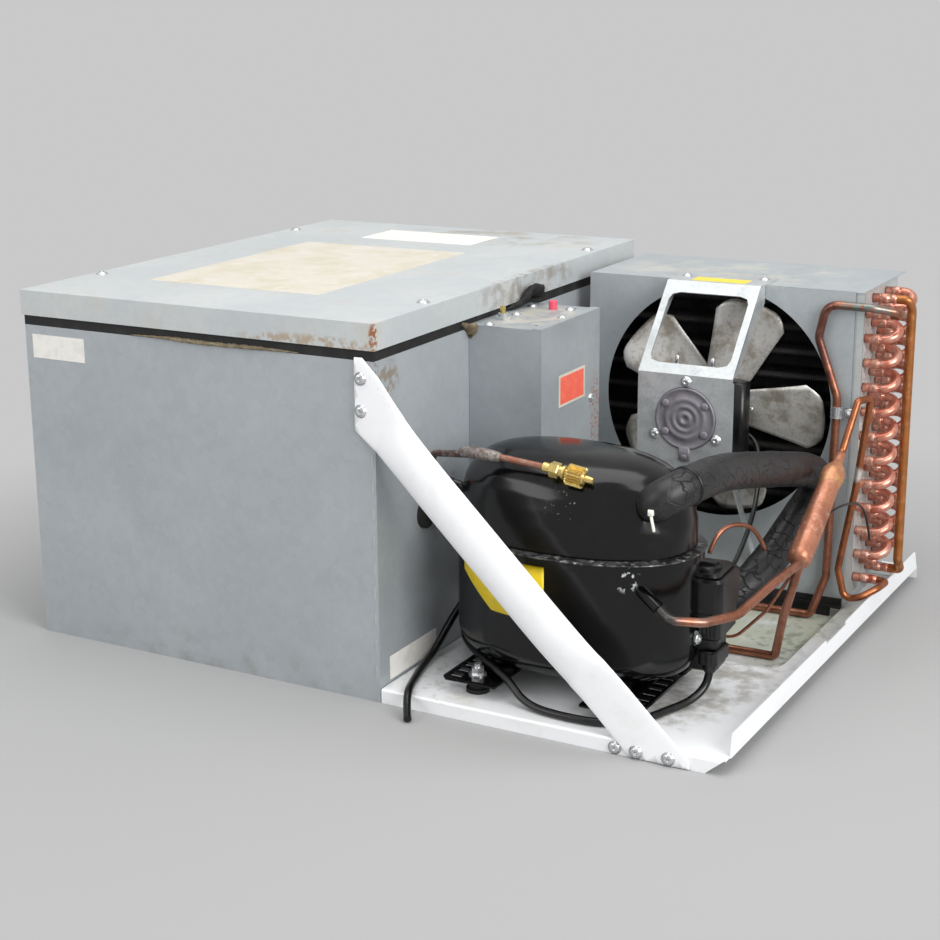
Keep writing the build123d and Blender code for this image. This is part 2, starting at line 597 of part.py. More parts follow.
parts["terminal_cover"] = terminal_cover()
parts["start_relay"] = start_relay()
parts["cable_clamp"] = (block(CLAMP_X - 8, CLAMP_X + 8, CLAMP_Y - 8, COVER_Y0 - SEAT_GAP, CLAMP_Z, CLAMP_Z + 14)
                        - rod_z(CLAMP_X, CLAMP_Y, CLAMP_Z - 1, CLAMP_Z + 15, CORD_R + 0.2))
parts["ground_screw"] = rod_x(COMP_Y - 1, 78, COMP_X + LOWER_A + 0.1, COMP_X + LOWER_A + 3, 5)


# ---------------------------------------------------------------- condenser coil and shroud
def condenser_fins():
    step = (FIN_X1 - FIN_X0) / (FIN_COUNT - 1)
    return group(block(FIN_X0 + i * step, FIN_X0 + i * step + FIN_T, COIL_FRONT, COIL_BACK,
                       COIL_BOTTOM, COIL_BOTTOM + COIL_H) for i in range(FIN_COUNT))


def coil_tube_places():
    """(y, z) of each tube: odd rows are raised by half a pitch."""
    return [(COIL_Y0 + row * ROW_PITCH, COIL_Z0 + i * TUBE_PITCH + (row % 2) * TUBE_PITCH / 2)
            for row in range(COIL_ROWS) for i in range(COIL_TUBES)]


def condenser_tubes():
    return group(rod_x(y, z, SHROUD_X0 - 6, BEND_X, COIL_TUBE_R) for y, z in coil_tube_places())


def return_bend(y, z):
    """Half-circle bend from the tube at (y, z) to its raised neighbour in the next row."""
    y2, z2 = y + ROW_PITCH, z + TUBE_PITCH / 2
    reach = hypot(ROW_PITCH, TUBE_PITCH / 2) / 2
    arc = ThreePointArc((BEND_X, y, z), (BEND_X + reach, (y + y2) / 2, (z + z2) / 2), (BEND_X, y2, z2))
    section = Plane(origin=arc @ 0, z_dir=arc % 0) * RegularPolygon(COIL_TUBE_R, 8)
    return sweep(section, path=arc)


def condenser_bends():
    last = COIL_TUBES - 1
    free = [(0, 0), (0, last), (2, 0)]      # row and tube of the ends that lines and the header join
    return group(return_bend(COIL_Y0 + row * ROW_PITCH, COIL_Z0 + i * TUBE_PITCH)
                 for row in range(0, COIL_ROWS, 2) for i in range(COIL_TUBES) if (row, i) not in free)


def end_plates():
    """Tube sheets at both ends of the coil; the right one has a flange out at its front and back."""
    solids = []
    for x, out in ((SHROUD_X0 + SHEET + 1, 0), (END_PLATE_X, 1)):
        plate = block(x, x + SHEET, SHROUD_Y + SHEET, SHROUD_BACK - 10, SHROUD_BOTTOM, SHROUD_TOP - SHEET)
        if out:
            plate += block(x, x + 7, SHROUD_Y + SHEET, SHROUD_Y + 2 * SHEET, SHROUD_BOTTOM, SHROUD_TOP - SHEET)
            plate += block(x, x + 24, COIL_BACK - 8, SHROUD_BACK - 10, SHROUD_BOTTOM - SHEET, SHROUD_BOTTOM)
        for y, z in coil_tube_places():
            plate -= rod_x(y, z, x - 1, x + 2, COIL_TUBE_R + 0.05)
        solids.append(plate)
    return group(solids)


def fan_shroud():
    """Front plate with the fan opening, folded back over the top and down the far side."""
    front = block(SHROUD_X0, SHROUD_X1, SHROUD_Y, SHROUD_Y + SHEET, SHROUD_BOTTOM, SHROUD_TOP)
    front -= rod_y(FAN_X, FAN_Z, SHROUD_Y - 1, SHROUD_Y + 2, ORIFICE_R)
    top = block(SHROUD_X0, SHROUD_X1 + 10, SHROUD_Y, SHROUD_BACK, SHROUD_TOP - SHEET, SHROUD_TOP)
    side = block(SHROUD_X0, SHROUD_X0 + SHEET, SHROUD_Y, SHROUD_BACK, SHROUD_BOTTOM, SHROUD_TOP)
    body = front + top
    side -= [rod_x(y, z, SHROUD_X0 - 1, SHROUD_X0 + 2, COIL_TUBE_R + 0.3) for y, z in coil_tube_places()]
    for x, y in BRACKET_SCREWS:
        body -= rod_z(x, y, SHROUD_TOP - 3, SHROUD_TOP + 1, SCREW_R + 0.2)
    return body + side


BRACKET_SCREWS = [(FAN_X - 42, 428.0), (FAN_X + 39, 438.0)]


def shroud_seal():
    """Two-ribbed rubber strip closing the gap under the shroud, stepped down into the tray."""
    body = block(SHROUD_X0, SHROUD_X1, SHROUD_Y - 1, SHROUD_Y + 3, PAN_FLOOR + SEAT_GAP, SHROUD_BOTTOM)
    body += block(SHROUD_X0, SHROUD_X1, SHROUD_Y - 3, SHROUD_Y + 3, PAN_FLOOR + SEAT_GAP, PAN_FLOOR + 4)
    body += block(TRAY_X0 + 14, TRAY_X1 - 14, SHROUD_Y - 1, SHROUD_Y + 3, TRAY_FLOOR + PAN_T + SEAT_GAP,
                  PAN_FLOOR + 1)
    return body


parts["condenser_fins"] = condenser_fins()
parts["condenser_tubes"] = condenser_tubes()
parts["condenser_bends"] = condenser_bends()
parts["condenser_end_plates"] = end_plates()
parts["fan_shroud"] = fan_shroud()
parts["shroud_seal"] = shroud_seal()


def header_tube():
    """Vertical tube between the two columns of bends, from the top of one to the foot of the other."""
    top, foot = COIL_Z0 + (COIL_TUBES - 0.5) * TUBE_PITCH, COIL_Z0
    y_top, y_foot = COIL_Y0 + ROW_PITCH, COIL_Y0 + 2 * ROW_PITCH
    x = BEND_X + 12
    return bent_rod([(BEND_X, y_top, top), (x, y_top, top), (x, HEADER_Y, top - 12),
                     (x, HEADER_Y, foot + 14), (x, y_foot, foot), (BEND_X, y_foot, foot)],
                    [6, 8, 9, 5], COIL_TUBE_R)


# ---------------------------------------------------------------- condenser fan and its bracket
def motor_bracket():
    """Folded sheet: flange on the shroud top, windowed slope, motor plate and two long legs."""
    x0, x1 = FAN_X - BRACKET_W / 2, FAN_X + BRACKET_W / 2
    t, fold, low = BRACKET_T, BRACKET_TOP_FOLD, FAN_Z - BRACKET_LOW
    top_y0, top_y1 = SHROUD_Y - 2, SHROUD_Y + 52
    z_top = SHROUD_TOP
    profile = Plane.YZ * make_face(Polyline(
        (top_y1, z_top), (top_y0 + 2, z_top), (BRACKET_Y + t, fold - 1), (BRACKET_Y + t, low),
        (BRACKET_Y, low), (BRACKET_Y, fold), (top_y0, z_top + t), (top_y1, z_top + t), (top_y1, z_top)))
    body = Pos(x0, 0, 0) * extrude(profile, BRACKET_W)
    flange = Plane.YZ * make_face(Polyline(
        (BRACKET_Y + t / 2, low), (BRACKET_Y + t / 2, fold), (top_y0 + 1, z_top + t / 2),
        (SHROUD_Y - SEAT_GAP, z_top - 4), (BRACKET_Y + BRACKET_SIDE, fold - 3),
        (BRACKET_Y + BRACKET_SIDE, low), (BRACKET_Y + t / 2, low)))
    leg = Plane.YZ * make_face(Polyline(
        (BRACKET_Y + t / 2, low + 6), (BRACKET_Y + BRACKET_SIDE, low + 6), (SHROUD_Y, SHROUD_BOTTOM + 30),
        (SHROUD_Y, SHROUD_BOTTOM + 10), (BRACKET_Y + t / 2, low - 6), (BRACKET_Y + t / 2, low + 6)))
    for x in (x0, x1 - t):
        body += Pos(x, 0, 0) * extrude(flange, t)
        body += Pos(x, 0, 0) * extrude(leg, t)
    slope = degrees(atan2(z_top - fold, top_y0 - BRACKET_Y))
    mid_y, mid_z = (top_y0 + BRACKET_Y) / 2, (z_top + fold) / 2
    window = extrude(RectangleRounded(BRACKET_W - 22, 68, 7), 12, both=True)
    body -= Pos(FAN_X, mid_y, mid_z) * Rot(slope, 0, 0) * window
    body -= rod_y(FAN_X, FAN_Z, BRACKET_Y - 1, BRACKET_Y + t + 1, MOTOR_FACE_R + 0.5)
    for x, z in MOTOR_SCREWS:
        body -= rod_y(x, z, BRACKET_Y - 1, BRACKET_Y + t + 1, SCREW_R + 0.2)
    for x, y in BRACKET_SCREWS:
        body -= rod_z(x, y, z_top - 1, z_top + 3, SCREW_R + 0.2)
    return body


MOTOR_FACE_R = 31.0
MOTOR_SCREW_R = 38.0
MOTOR_SCREWS = [(FAN_X + MOTOR_SCREW_R * sin(radians(a)), FAN_Z + MOTOR_SCREW_R * cos(radians(a)))
                for a in (0, 125, 235)]


def fan_motor():
    """Cup-shaped motor behind the bracket plate; its stepped face shows through the plate."""
    front = BRACKET_Y + BRACKET_T
    body = rod_y(FAN_X, FAN_Z, front, MOTOR_BACK, MOTOR_R)
    body = fillet(body.edges().group_by(Axis.Y)[-1], 8)
    body += rod_y(FAN_X, FAN_Z, BRACKET_Y - 1.5, front, 31)
    body += rod_y(FAN_X, FAN_Z, BRACKET_Y - 3.5, BRACKET_Y - 1.5, 19)
    body += rod_y(FAN_X, FAN_Z, MOTOR_BACK, MOTOR_BACK + 6, 9)
    for x, z in MOTOR_SCREWS:
        body -= rod_y(x, z, front - 1, front + 6, SCREW_R)
    body -= rod_y(FAN_X, FAN_Z, front + 10, MOTOR_BACK + 7, SHAFT_R + RUN_GAP)
    return body


def fan_blade():
    """Spider hub and pressed aluminium blades on the motor shaft, turning just behind the opening."""
    ring = blade_ring(FAN_BLADES, HUB_R, FAN_R, 50, 12, 11)
    hub = Cylinder(HUB_R, 6) + Pos(0, 0, 10) * Cylinder(9, 20)
    body = hub + ring
    body += Pos(0, 0, 21) * Cylinder(SHAFT_R, 42)
    return Pos(FAN_X, SHROUD_Y + 4, FAN_Z) * Rot(90, 0, 0) * body


parts["motor_bracket"] = motor_bracket()
parts["condenser_fan_motor"] = fan_motor()
parts["condenser_fan_blade"] = fan_blade()
parts["motor_screws"] = group([screw_y(x, z, BRACKET_Y, 6) for x, z in MOTOR_SCREWS])
parts["bracket_screws"] = group([screw_z(x, y, SHROUD_TOP + BRACKET_T, 4) for x, y in BRACKET_SCREWS])


# ---------------------------------------------------------------- refrigerant lines
def filter_drier():
    """Spun copper body with tapered ends, on the axis between the liquid line and the capillary."""
    length = (DRIER_TOP - DRIER_LOW).length
    taper = 16.0
    outline = make_face(Polyline(
        (0, 0), (CAPILLARY_R + 1.4, 0), (CAPILLARY_R + 1.4, 10), (DRIER_R, 10 + taper),
        (DRIER_R, length - taper), (LIQUID_R + 1, length), (0, length), (0, 0)))
    body = revolve(Plane.XZ * outline, Axis.Z)
    return Plane(origin=DRIER_LOW, z_dir=DRIER_ALONG) * body


parts["condenser_header"] = header_tube()
parts["discharge_tube"] = bent_rod(DISCHARGE_PATH, DISCHARGE_BENDS, DISCHARGE_R)
parts["liquid_tube"] = bent_rod(LIQUID_PATH, LIQUID_BENDS, LIQUID_R)
parts["suction_tube"] = bent_rod(SUCTION_PATH, SUCTION_BENDS, SUCTION_R)
parts["capillary_tube"] = bent_rod(CAPILLARY_PATH, CAPILLARY_BENDS, CAPILLARY_R)
parts["process_tube"] = bent_rod(PROCESS_PATH, PROCESS_BENDS, PROCESS_R)
parts["filter_drier"] = filter_drier()


def suction_insulation():
    path = FilletPolyline(*SUCTION_PATH, radius=SUCTION_BENDS)
    covered = path.trim(0.03, 0.97)
    section = Plane(origin=covered @ 0, z_dir=covered % 0) * (Circle(HOSE_R) - Circle(SUCTION_R + 0.2))
    return sweep(section, path=covered)


parts["suction_insulation"] = suction_insulation()

# ---------------------------------------------------------------- control box
BOX_SCREWS = [(20.0, 188.0), (62.0, 198.0), (66.0, 250.0), (56.0, 296.0)]
SIDE_SCREW = (288.0, BOX_Z1 - BOX_H / 2 + 1)
SWITCH_TOP = BOX_Z1 - SHEET - SEAT_GAP
BUTTON_SEAT = SWITCH_TOP - 12.0
BUSH_R = 5.0


def control_box():
    """Sheet box on the case wall, open on its right side under the cover."""
    body = block(SEAT_GAP, BOX_W, BOX_Y0, BOX_Y1, BOX_Z0, BOX_Z1)
    body -= block(SEAT_GAP + SHEET, BOX_W + 1, BOX_Y0 + SHEET, BOX_Y1 - SHEET, BOX_Z0 + SHEET, BOX_Z1 - SHEET)
    body -= rod_z(BUTTON_X, BUTTON_Y, BOX_Z1 - 3, BOX_Z1 + 1, BUTTON_R + 0.4)
    body -= rod_z(STEM_X, STEM_Y, BOX_Z1 - 3, BOX_Z1 + 1, BUSH_R + 0.2)
    for x, y in BOX_SCREWS:
        body -= rod_z(x, y, BOX_Z1 - 3, BOX_Z1 + 1, SCREW_R + 0.1)
    for x, y in ((SUPPLY_PATH[0][0], SUPPLY_PATH[0][1]), (LEAD_PATH[-1][0], LEAD_PATH[-1][1]),
                 (FAN_LEAD_PATH[-1][0], FAN_LEAD_PATH[-1][1])):
        body -= rod_z(x, y, BOX_Z0 - 1, BOX_Z0 + 3, CORD_R + 1.0)
    return body


def control_box_cover():
    side = block(BOX_W, BOX_W + SHEET, BOX_Y0, BOX_Y1, BOX_Z0, BOX_Z1 + SHEET)
    side += block(BOX_W - 9, BOX_W, BOX_Y0, BOX_Y1, BOX_Z1, BOX_Z1 + SHEET)
    return side - rod_x(*SIDE_SCREW, BOX_W - 1, BOX_W + 2, SCREW_R + 0.1)


def reset_switch():
    body = block(BUTTON_X - 11, BUTTON_X + 11, BUTTON_Y - 14, BUTTON_Y + 14, SWITCH_TOP - 30, SWITCH_TOP)
    return body - rod_z(BUTTON_X, BUTTON_Y, BUTTON_SEAT - BUTTON_TRAVEL - 1, SWITCH_TOP + 1, BUTTON_R + SEAT_GAP)


def reset_button():
    button = rod_z(BUTTON_X, BUTTON_Y, BUTTON_SEAT, BOX_Z1 + BUTTON_PROUD, BUTTON_R)
    return fillet(button.edges().group_by(Axis.Z)[-1], 1.5)


def thermostat_body():
    """Thermostat under the top sheet, its threaded bush and nut passing through."""
    body = block(STEM_X - 14, STEM_X + 16, STEM_Y - 12, STEM_Y + 12, SWITCH_TOP - 34, SWITCH_TOP)
    body += rod_z(STEM_X, STEM_Y, SWITCH_TOP, BOX_Z1 + 6, BUSH_R)
    body += Pos(STEM_X, STEM_Y, BOX_Z1) * (extrude(RegularPolygon(8, 6), 2.6) - Cylinder(BUSH_R, 8))
    return body - rod_z(STEM_X, STEM_Y, SWITCH_TOP - 20, BOX_Z1 + 7, STEM_R + RUN_GAP)


def thermostat_shaft():
    top = BOX_Z1 + STEM_PROUD
    shaft = rod_z(STEM_X, STEM_Y, SWITCH_TOP - 18, top, STEM_R)
    return shaft - block(STEM_X + 1.6, STEM_X + 5, STEM_Y - 5, STEM_Y + 5, top - 6, top + 1)


# ---------------------------------------------------------------- small fittings
def compressor_label():
    """Thin bare plate wrapped on the front of the lower shell."""
    skin = (shell_oval(LOWER_A + 0.6, LOWER_B + 0.6, LABEL_Z0, LABEL_Z1)
            - shell_oval(LOWER_A + 0.15, LOWER_B + 0.15, LABEL_Z0 - 1, LABEL_Z1 + 1))
    return skin & block(LABEL_X0, LABEL_X1, 0, 60, LABEL_Z0, LABEL_Z1)


def service_valve():
    """Brass access valve on the process tube, closed by a cap."""
    start, before = Vector(*PROCESS_PATH[-1]), Vector(*PROCESS_PATH[-2])
    along = (start - before).normalized()
    spot = Plane(origin=start, z_dir=along)
    hexagon = extrude(RegularPolygon(6.2, 6), 9)
    stem = Pos(0, 0, 9) * extrude(Circle(4), 8)
    cap = Pos(0, 0, 17) * extrude(RegularPolygon(7.4, 12), 25)
    return spot * (hexagon + stem + cap)


def tube_clamp():
    """P-clip that holds the riser to the shroud plate with one screw."""
    x, y = DISCHARGE_PATH[12][0] - 0.3, DISCHARGE_PATH[12][1]
    face = SHROUD_Y - 0.05
    ring = rod_z(x, y, 220, 230, DISCHARGE_R + 1.6) - rod_z(x, y, 219, 231, DISCHARGE_R + 0.25)
    tab = block(x, x + 17, face - 1, face, 220, 230) - rod_z(x, y, 219, 231, DISCHARGE_R + 0.25)
    web = block(x + DISCHARGE_R + 0.4, x + DISCHARGE_R + 1.6, y, face, 220, 230)
    head = rod_y(x + 11, 225, face - 1 - SCREW_HEAD_H, face - 1, SCREW_HEAD_R)
    return ring + tab + web + head


def cable_tie():
    """Plastic tie drawn round the insulated suction line near the compressor."""
    path = FilletPolyline(*SUCTION_PATH, radius=SUCTION_BENDS)
    spot = Plane(origin=path @ 0.075, z_dir=path % 0.075)
    band = extrude(Circle(HOSE_R + 1.4) - Circle(HOSE_R + 0.1), 4.6, both=True)
    return spot * band


# ---------------------------------------------------------------- cords
FLOOR_LIE = PAN_FLOOR + CORD_R + 0.2
SUPPLY_PATH = [
    (28, 194, BOX_Z0 + 0.5), (27.5, 191, 120), (19, 160, 80), (8, 124, 46), (6.5, 90, 22), (12, 56, FLOOR_LIE),
    (22, 24, FLOOR_LIE + 0.4), (31, -2, FLOOR_LIE + 1.2), (38, -16, 9.5), (47, -30, 4.2),
]
LEAD_PATH = [
    (CLAMP_X, CLAMP_Y, CLAMP_Z), (CLAMP_X, CLAMP_Y - 0.4, 33), (271, 97, 20), (257, 68, FLOOR_LIE),
    (247, 39, FLOOR_LIE), (221, 16.5, FLOOR_LIE), (180, 14, FLOOR_LIE), (142, 20, FLOOR_LIE + 1),
    (118, 31, 35), (96, 46, 38), (74, 66, 36), (50, 88, 34), (24, 116, 36), (16, 146, 54), (22, 180, 84),
    (44, 196, 112), (48, 200, BOX_Z0 + 0.5),
]
FAN_LEAD_PATH = [
    (INSIDE_X, LEAD_Y, LEAD_Z), (14, LEAD_Y, LEAD_Z), (22, 110, 155), (30, 138, 142), (44, 164, 128), (62, 186, 126),
    (66, 192, BOX_Z0 + 0.5),
]
MOTOR_LEAD_PATH = [
    (FAN_X + MOTOR_R - 1, 366, 204), (224, 366, 203), (240, 346, 182), (252, 304, 150), (262, 250, 130),
    (262, 216, 110), (262, COVER_Y1, 110),
]
MOTOR_LEAD_R = 2.4


def cord(name, points, radius):
    """A flexible lead; prints its length and its tightest bend, which have to suit its thickness."""
    bends = easy_radii(points)
    path = FilletPolyline(*points, radius=bends)
    print(name, "length", round(path.length), "mm, tightest bend radius", round(min(bends), 1))
    return bent_rod(points, bends, radius)


parts["control_box"] = control_box()
parts["control_box_cover"] = control_box_cover()
parts["control_box_screws"] = group([screw_z(x, y, BOX_Z1 + (SHEET if x > BOX_W - 14 else 0), 4)
                                     for x, y in BOX_SCREWS] + [screw_x(*SIDE_SCREW, BOX_W + SHEET, 5)])
parts["reset_switch"] = reset_switch()
parts["reset_button"] = reset_button()
parts["thermostat_body"] = thermostat_body()
parts["thermostat_shaft"] = thermostat_shaft()
parts["compressor_label"] = compressor_label()
parts["service_valve"] = service_valve()
parts["tube_clamp"] = tube_clamp()
parts["cable_tie"] = cable_tie()
parts["supply_lead"] = cord("supply_lead", SUPPLY_PATH, CORD_R)
parts["compressor_lead"] = cord("compressor_lead", LEAD_PATH, CORD_R)
parts["evaporator_fan_lead"] = cord("evaporator_fan_lead", FAN_LEAD_PATH, CORD_R)
parts["condenser_fan_lead"] = cord("condenser_fan_lead", MOTOR_LEAD_PATH, MOTOR_LEAD_R)
CORDS = ("supply_lead", "compressor_lead", "evaporator_fan_lead", "condenser_fan_lead")

# ---------------------------------------------------------------- place on the origin and write
boxes = [p.bounding_box() for name, p in parts.items() if name not in CORDS]
mid_x = (min(b.min.X for b in boxes) + max(b.max.X for b in boxes)) / 2
mid_y = (min(b.min.Y for b in boxes) + max(b.max.Y for b in boxes)) / 2
to_origin = Pos(-mid_x, -mid_y, 0)
for name, shape in parts.items():
    placed = [to_origin * solid for solid in shape.solids()]
    export_step(placed[0] if len(placed) == 1 else Compound(placed), f"parts/{name}.step")
print("origin at", round(mid_x, 4), round(mid_y, 4))
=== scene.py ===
"""Packaged refrigeration deck dressed for rendering: finishes, leads, coil, compressor and fittings."""

import json
from math import atan2, cos, hypot, pi, radians, sin

import bmesh
import bpy
import numpy as np
from mathutils import Matrix, Vector, noise


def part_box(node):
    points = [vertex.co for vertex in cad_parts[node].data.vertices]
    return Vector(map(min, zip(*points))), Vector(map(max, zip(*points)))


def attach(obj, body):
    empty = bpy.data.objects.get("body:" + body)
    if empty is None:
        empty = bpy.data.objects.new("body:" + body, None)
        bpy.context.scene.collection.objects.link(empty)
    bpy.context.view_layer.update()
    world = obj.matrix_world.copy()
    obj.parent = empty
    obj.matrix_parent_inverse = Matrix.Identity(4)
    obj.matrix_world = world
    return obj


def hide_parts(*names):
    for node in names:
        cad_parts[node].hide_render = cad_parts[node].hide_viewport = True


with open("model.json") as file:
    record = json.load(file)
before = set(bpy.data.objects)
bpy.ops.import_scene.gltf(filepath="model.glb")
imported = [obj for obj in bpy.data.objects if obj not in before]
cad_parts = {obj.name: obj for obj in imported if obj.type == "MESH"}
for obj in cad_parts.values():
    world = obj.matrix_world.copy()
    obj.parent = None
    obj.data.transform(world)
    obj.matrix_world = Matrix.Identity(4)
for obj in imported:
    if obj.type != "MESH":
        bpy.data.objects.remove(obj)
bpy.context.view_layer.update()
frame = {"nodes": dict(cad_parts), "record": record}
nodes = frame["nodes"]

# The case's right wall is X = 0, its front is Y = 0 and the ground is Z = 0 in all sizes below, in mm.
WALL_X, FRONT_Y = 28.9505, -289.0
MM = 0.001
RIGHT, BACK, FRONT, UP = Vector((1, 0, 0)), Vector((0, 1, 0)), Vector((0, -1, 0)), Vector((0, 0, 1))


def at(x, y, z):
    """A point of the deck in mm to the frame in metres."""
    return Vector(((x + WALL_X) * MM, (y + FRONT_Y) * MM, z * MM))


# ---------------------------------------------------------------- camera
CAMERA_AT = at(832.1, -1339.0, 662.2)
YAW, PITCH, ROLL = 0.5355, 0.2642, -0.0156


def add_camera():
    ahead = Vector((-sin(YAW) * cos(PITCH), cos(YAW) * cos(PITCH), -sin(PITCH)))
    right = Vector((cos(YAW), sin(YAW), 0.0))
    up = right.cross(ahead)
    right, up = cos(ROLL) * right + sin(ROLL) * up, -sin(ROLL) * right + cos(ROLL) * up
    data = bpy.data.cameras.new("camera")
    data.lens, data.sensor_width = 69.23, 36.0
    data.shift_x, data.shift_y = 0.0623, -0.0113
    camera = bpy.data.objects.new("camera", data)
    camera.matrix_world = Matrix((
        (right.x, up.x, -ahead.x, CAMERA_AT.x), (right.y, up.y, -ahead.y, CAMERA_AT.y),
        (right.z, up.z, -ahead.z, CAMERA_AT.z), (0, 0, 0, 1)))
    bpy.context.scene.collection.objects.link(camera)
    bpy.context.scene.camera = camera


add_camera()
bpy.context.scene.view_settings.view_transform = "Standard"


# ---------------------------------------------------------------- node and mesh helpers
def colour(code):
    """sRGB hex to linear."""
    values = [int(code[i:i + 2], 16) / 255 for i in (1, 3, 5)]
    return [v / 12.92 if v <= 0.04045 else ((v + 0.055) / 1.055) ** 2.4 for v in values] + [1.0]


def add(tree, kind, values=None, links=None, **settings):
    """Adds a node: settings are its own, values go on its inputs, links join other outputs to its inputs."""
    made = tree.nodes.new(kind)
    for name, value in settings.items():
        setattr(made, name, value)
    for socket, value in (values or {}).items():
        made.inputs[socket].default_value = value
    for socket, source in (links or {}).items():
        tree.links.new(source, made.inputs[socket])
    return made


def link_in(obj):
    bpy.context.scene.collection.objects.link(obj)
    return obj


def to_mesh(bm, name, placed=True):
    """Closes a build made in mm: normals outward, then in metres at its place in the frame or round the origin."""
    bmesh.ops.remove_doubles(bm, verts=bm.verts, dist=0.001)
    bmesh.ops.recalc_face_normals(bm, faces=bm.faces)
    for vert in bm.verts:
        vert.co = at(*vert.co) if placed else vert.co * MM
    mesh = bpy.data.meshes.new(name)
    bm.to_mesh(mesh)
    bm.free()
    return mesh


def piece(name, shape, material, body="chassis", slot=None, replaces=(), smooth=True):
    """A build or a finished mesh as a piece that rides on a body; a slot's name stands for its material."""
    mesh = to_mesh(shape, name) if isinstance(shape, bmesh.types.BMesh) else shape
    if isinstance(material, str):
        material, slot = MATERIALS[material], material
    if smooth:
        mesh.shade_smooth()
    mesh.materials.clear()
    mesh.materials.append(material)
    obj = link_in(bpy.data.objects.new(name, mesh))
    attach(obj, body)
    if replaces:
        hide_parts(*replaces)


def ring(bm, centre, across, up, points):
    return [bm.verts.new(centre + across * x + up * y) for x, y in points]


def skin(bm, rings, close_start=True, close_end=True):
    """Quads between rings of equal counts, with the ends filled."""
    for low, high in zip(rings, rings[1:]):
        for i in range(len(low)):
            j = (i + 1) % len(low)
            bm.faces.new((low[i], low[j], high[j], high[i]))
    if close_start:
        bm.faces.new(rings[0])
    if close_end:
        bm.faces.new(rings[-1])


def circle(radius, sides, squash=1.0):
    return [(radius * cos(2 * pi * i / sides), radius * squash * sin(2 * pi * i / sides)) for i in range(sides)]


def squarish(sides, power):
    """A unit circle pushed out towards its corners; a power of 2 leaves it round."""
    points = []
    for c, d in circle(1.0, sides):
        k = (abs(c) ** power + abs(d) ** power) ** (-1 / power)
        points.append((k * c, k * d))
    return points


def lathe(bm, foot, direction, profile, sides=32):
    """Turned shape: profile is (radius, height) pairs along a direction from a foot point."""
    along = Vector(direction).normalized()
    across = along.orthogonal().normalized()
    up = along.cross(across)
    rings = []
    for radius, height in profile:
        centre = Vector(foot) + along * height
        rings.append(ring(bm, centre, across, up, circle(max(radius, 0.02), sides)))
    skin(bm, rings)


def prism(bm, foot, direction, turn, outline, heights):
    """Straight prism of an outline; each height is (distance, scale) so its ends can be chamfered."""
    along = Vector(direction).normalized()
    across = Vector(turn) - along * Vector(turn).dot(along)
    across.normalize()
    up = along.cross(across)
    skin(bm, [ring(bm, Vector(foot) + along * h, across, up, [(x * k, y * k) for x, y in outline])
              for h, k in heights])


def rounded(width, height, radius, steps=4):
    """Rounded rectangle round the origin."""
    points = []
    for cx, cy, a in ((1, 1, 0), (-1, 1, 90), (-1, -1, 180), (1, -1, 270)):
        for i in range(steps + 1):
            t = radians(a + 90 * i / steps)
            points.append((cx * (width / 2 - radius) + radius * cos(t), cy * (height / 2 - radius) + radius * sin(t)))
    return points


def slab(bm, low, high, bevel=0.0):
    """A block between two corners, with its edges softened."""
    low, high = Vector(low), Vector(high)
    size = high - low
    if bevel:
        r = min(bevel, size.x / 2.01, size.y / 2.01)
        k = (min(size.x, size.y) - 0.6 * bevel) / min(size.x, size.y)
        prism(bm, ((low.x + high.x) / 2, (low.y + high.y) / 2, low.z), UP, RIGHT,
              rounded(size.x, size.y, r), [(0, k), (0.3 * bevel, 1), (size.z - 0.3 * bevel, 1), (size.z, k)])
    else:
        prism(bm, ((low.x + high.x) / 2, (low.y + high.y) / 2, low.z), UP, RIGHT,
              [(-size.x / 2, -size.y / 2), (size.x / 2, -size.y / 2), (size.x / 2, size.y / 2),
               (-size.x / 2, size.y / 2)], [(0, 1), (size.z, 1)])


def route_curve(name, points, steps):
    """One smooth spline along a route, its ends on the first and last point."""
    data = bpy.data.curves.new(name, "CURVE")
    data.dimensions, data.resolution_u = "3D", steps
    spline = data.splines.new("NURBS")
    spline.points.add(len(points) - 1)
    for control, point in zip(spline.points, points):
        control.co = (*point, 1.0)
    spline.order_u = 3
    spline.use_endpoint_u = True
    return data


def line_of(data):
    """The points that a curve without thickness runs through."""
    probe = bpy.data.objects.new("route", data)
    mesh = bpy.data.meshes.new_from_object(probe)
    line = [v.co.copy() for v in mesh.vertices]
    bpy.data.objects.remove(probe)
    bpy.data.meshes.remove(mesh)
    return line


def smooth_line(points, steps=10):
    """Points in deck millimetres along the smooth spline of a route, without doubled ones."""
    line = line_of(route_curve("route", points, steps))
    kept = [line[0]]
    for point in line[1:]:
        if (point - kept[-1]).length > 0.05:
            kept.append(point)
    return kept


def length_of(line):
    return sum((b - a).length for a, b in zip(line, line[1:]))


def sweep(bm, line, outline_at):
    """Carries an outline along a line without twist; outline_at(share, index) gives its points."""
    tangents = [(line[min(i + 1, len(line) - 1)] - line[max(i - 1, 0)]).normalized() for i in range(len(line))]
    across = tangents[0].orthogonal().normalized()
    total, run, rings = length_of(line), 0.0, []
    for i, (point, along) in enumerate(zip(line, tangents)):
        if i:
            run += (point - line[i - 1]).length
        across = (across - along * across.dot(along)).normalized()
        rings.append(ring(bm, point, across, along.cross(across), outline_at(run / total, i)))
    skin(bm, rings)


def tube(bm, line, radius, sides=20):
    sweep(bm, line, lambda share, i: circle(radius(share) if callable(radius) else radius, sides))


def evaluated(obj):
    graph = bpy.context.evaluated_depsgraph_get()
    return bpy.data.meshes.new_from_object(obj.evaluated_get(graph), depsgraph=graph)


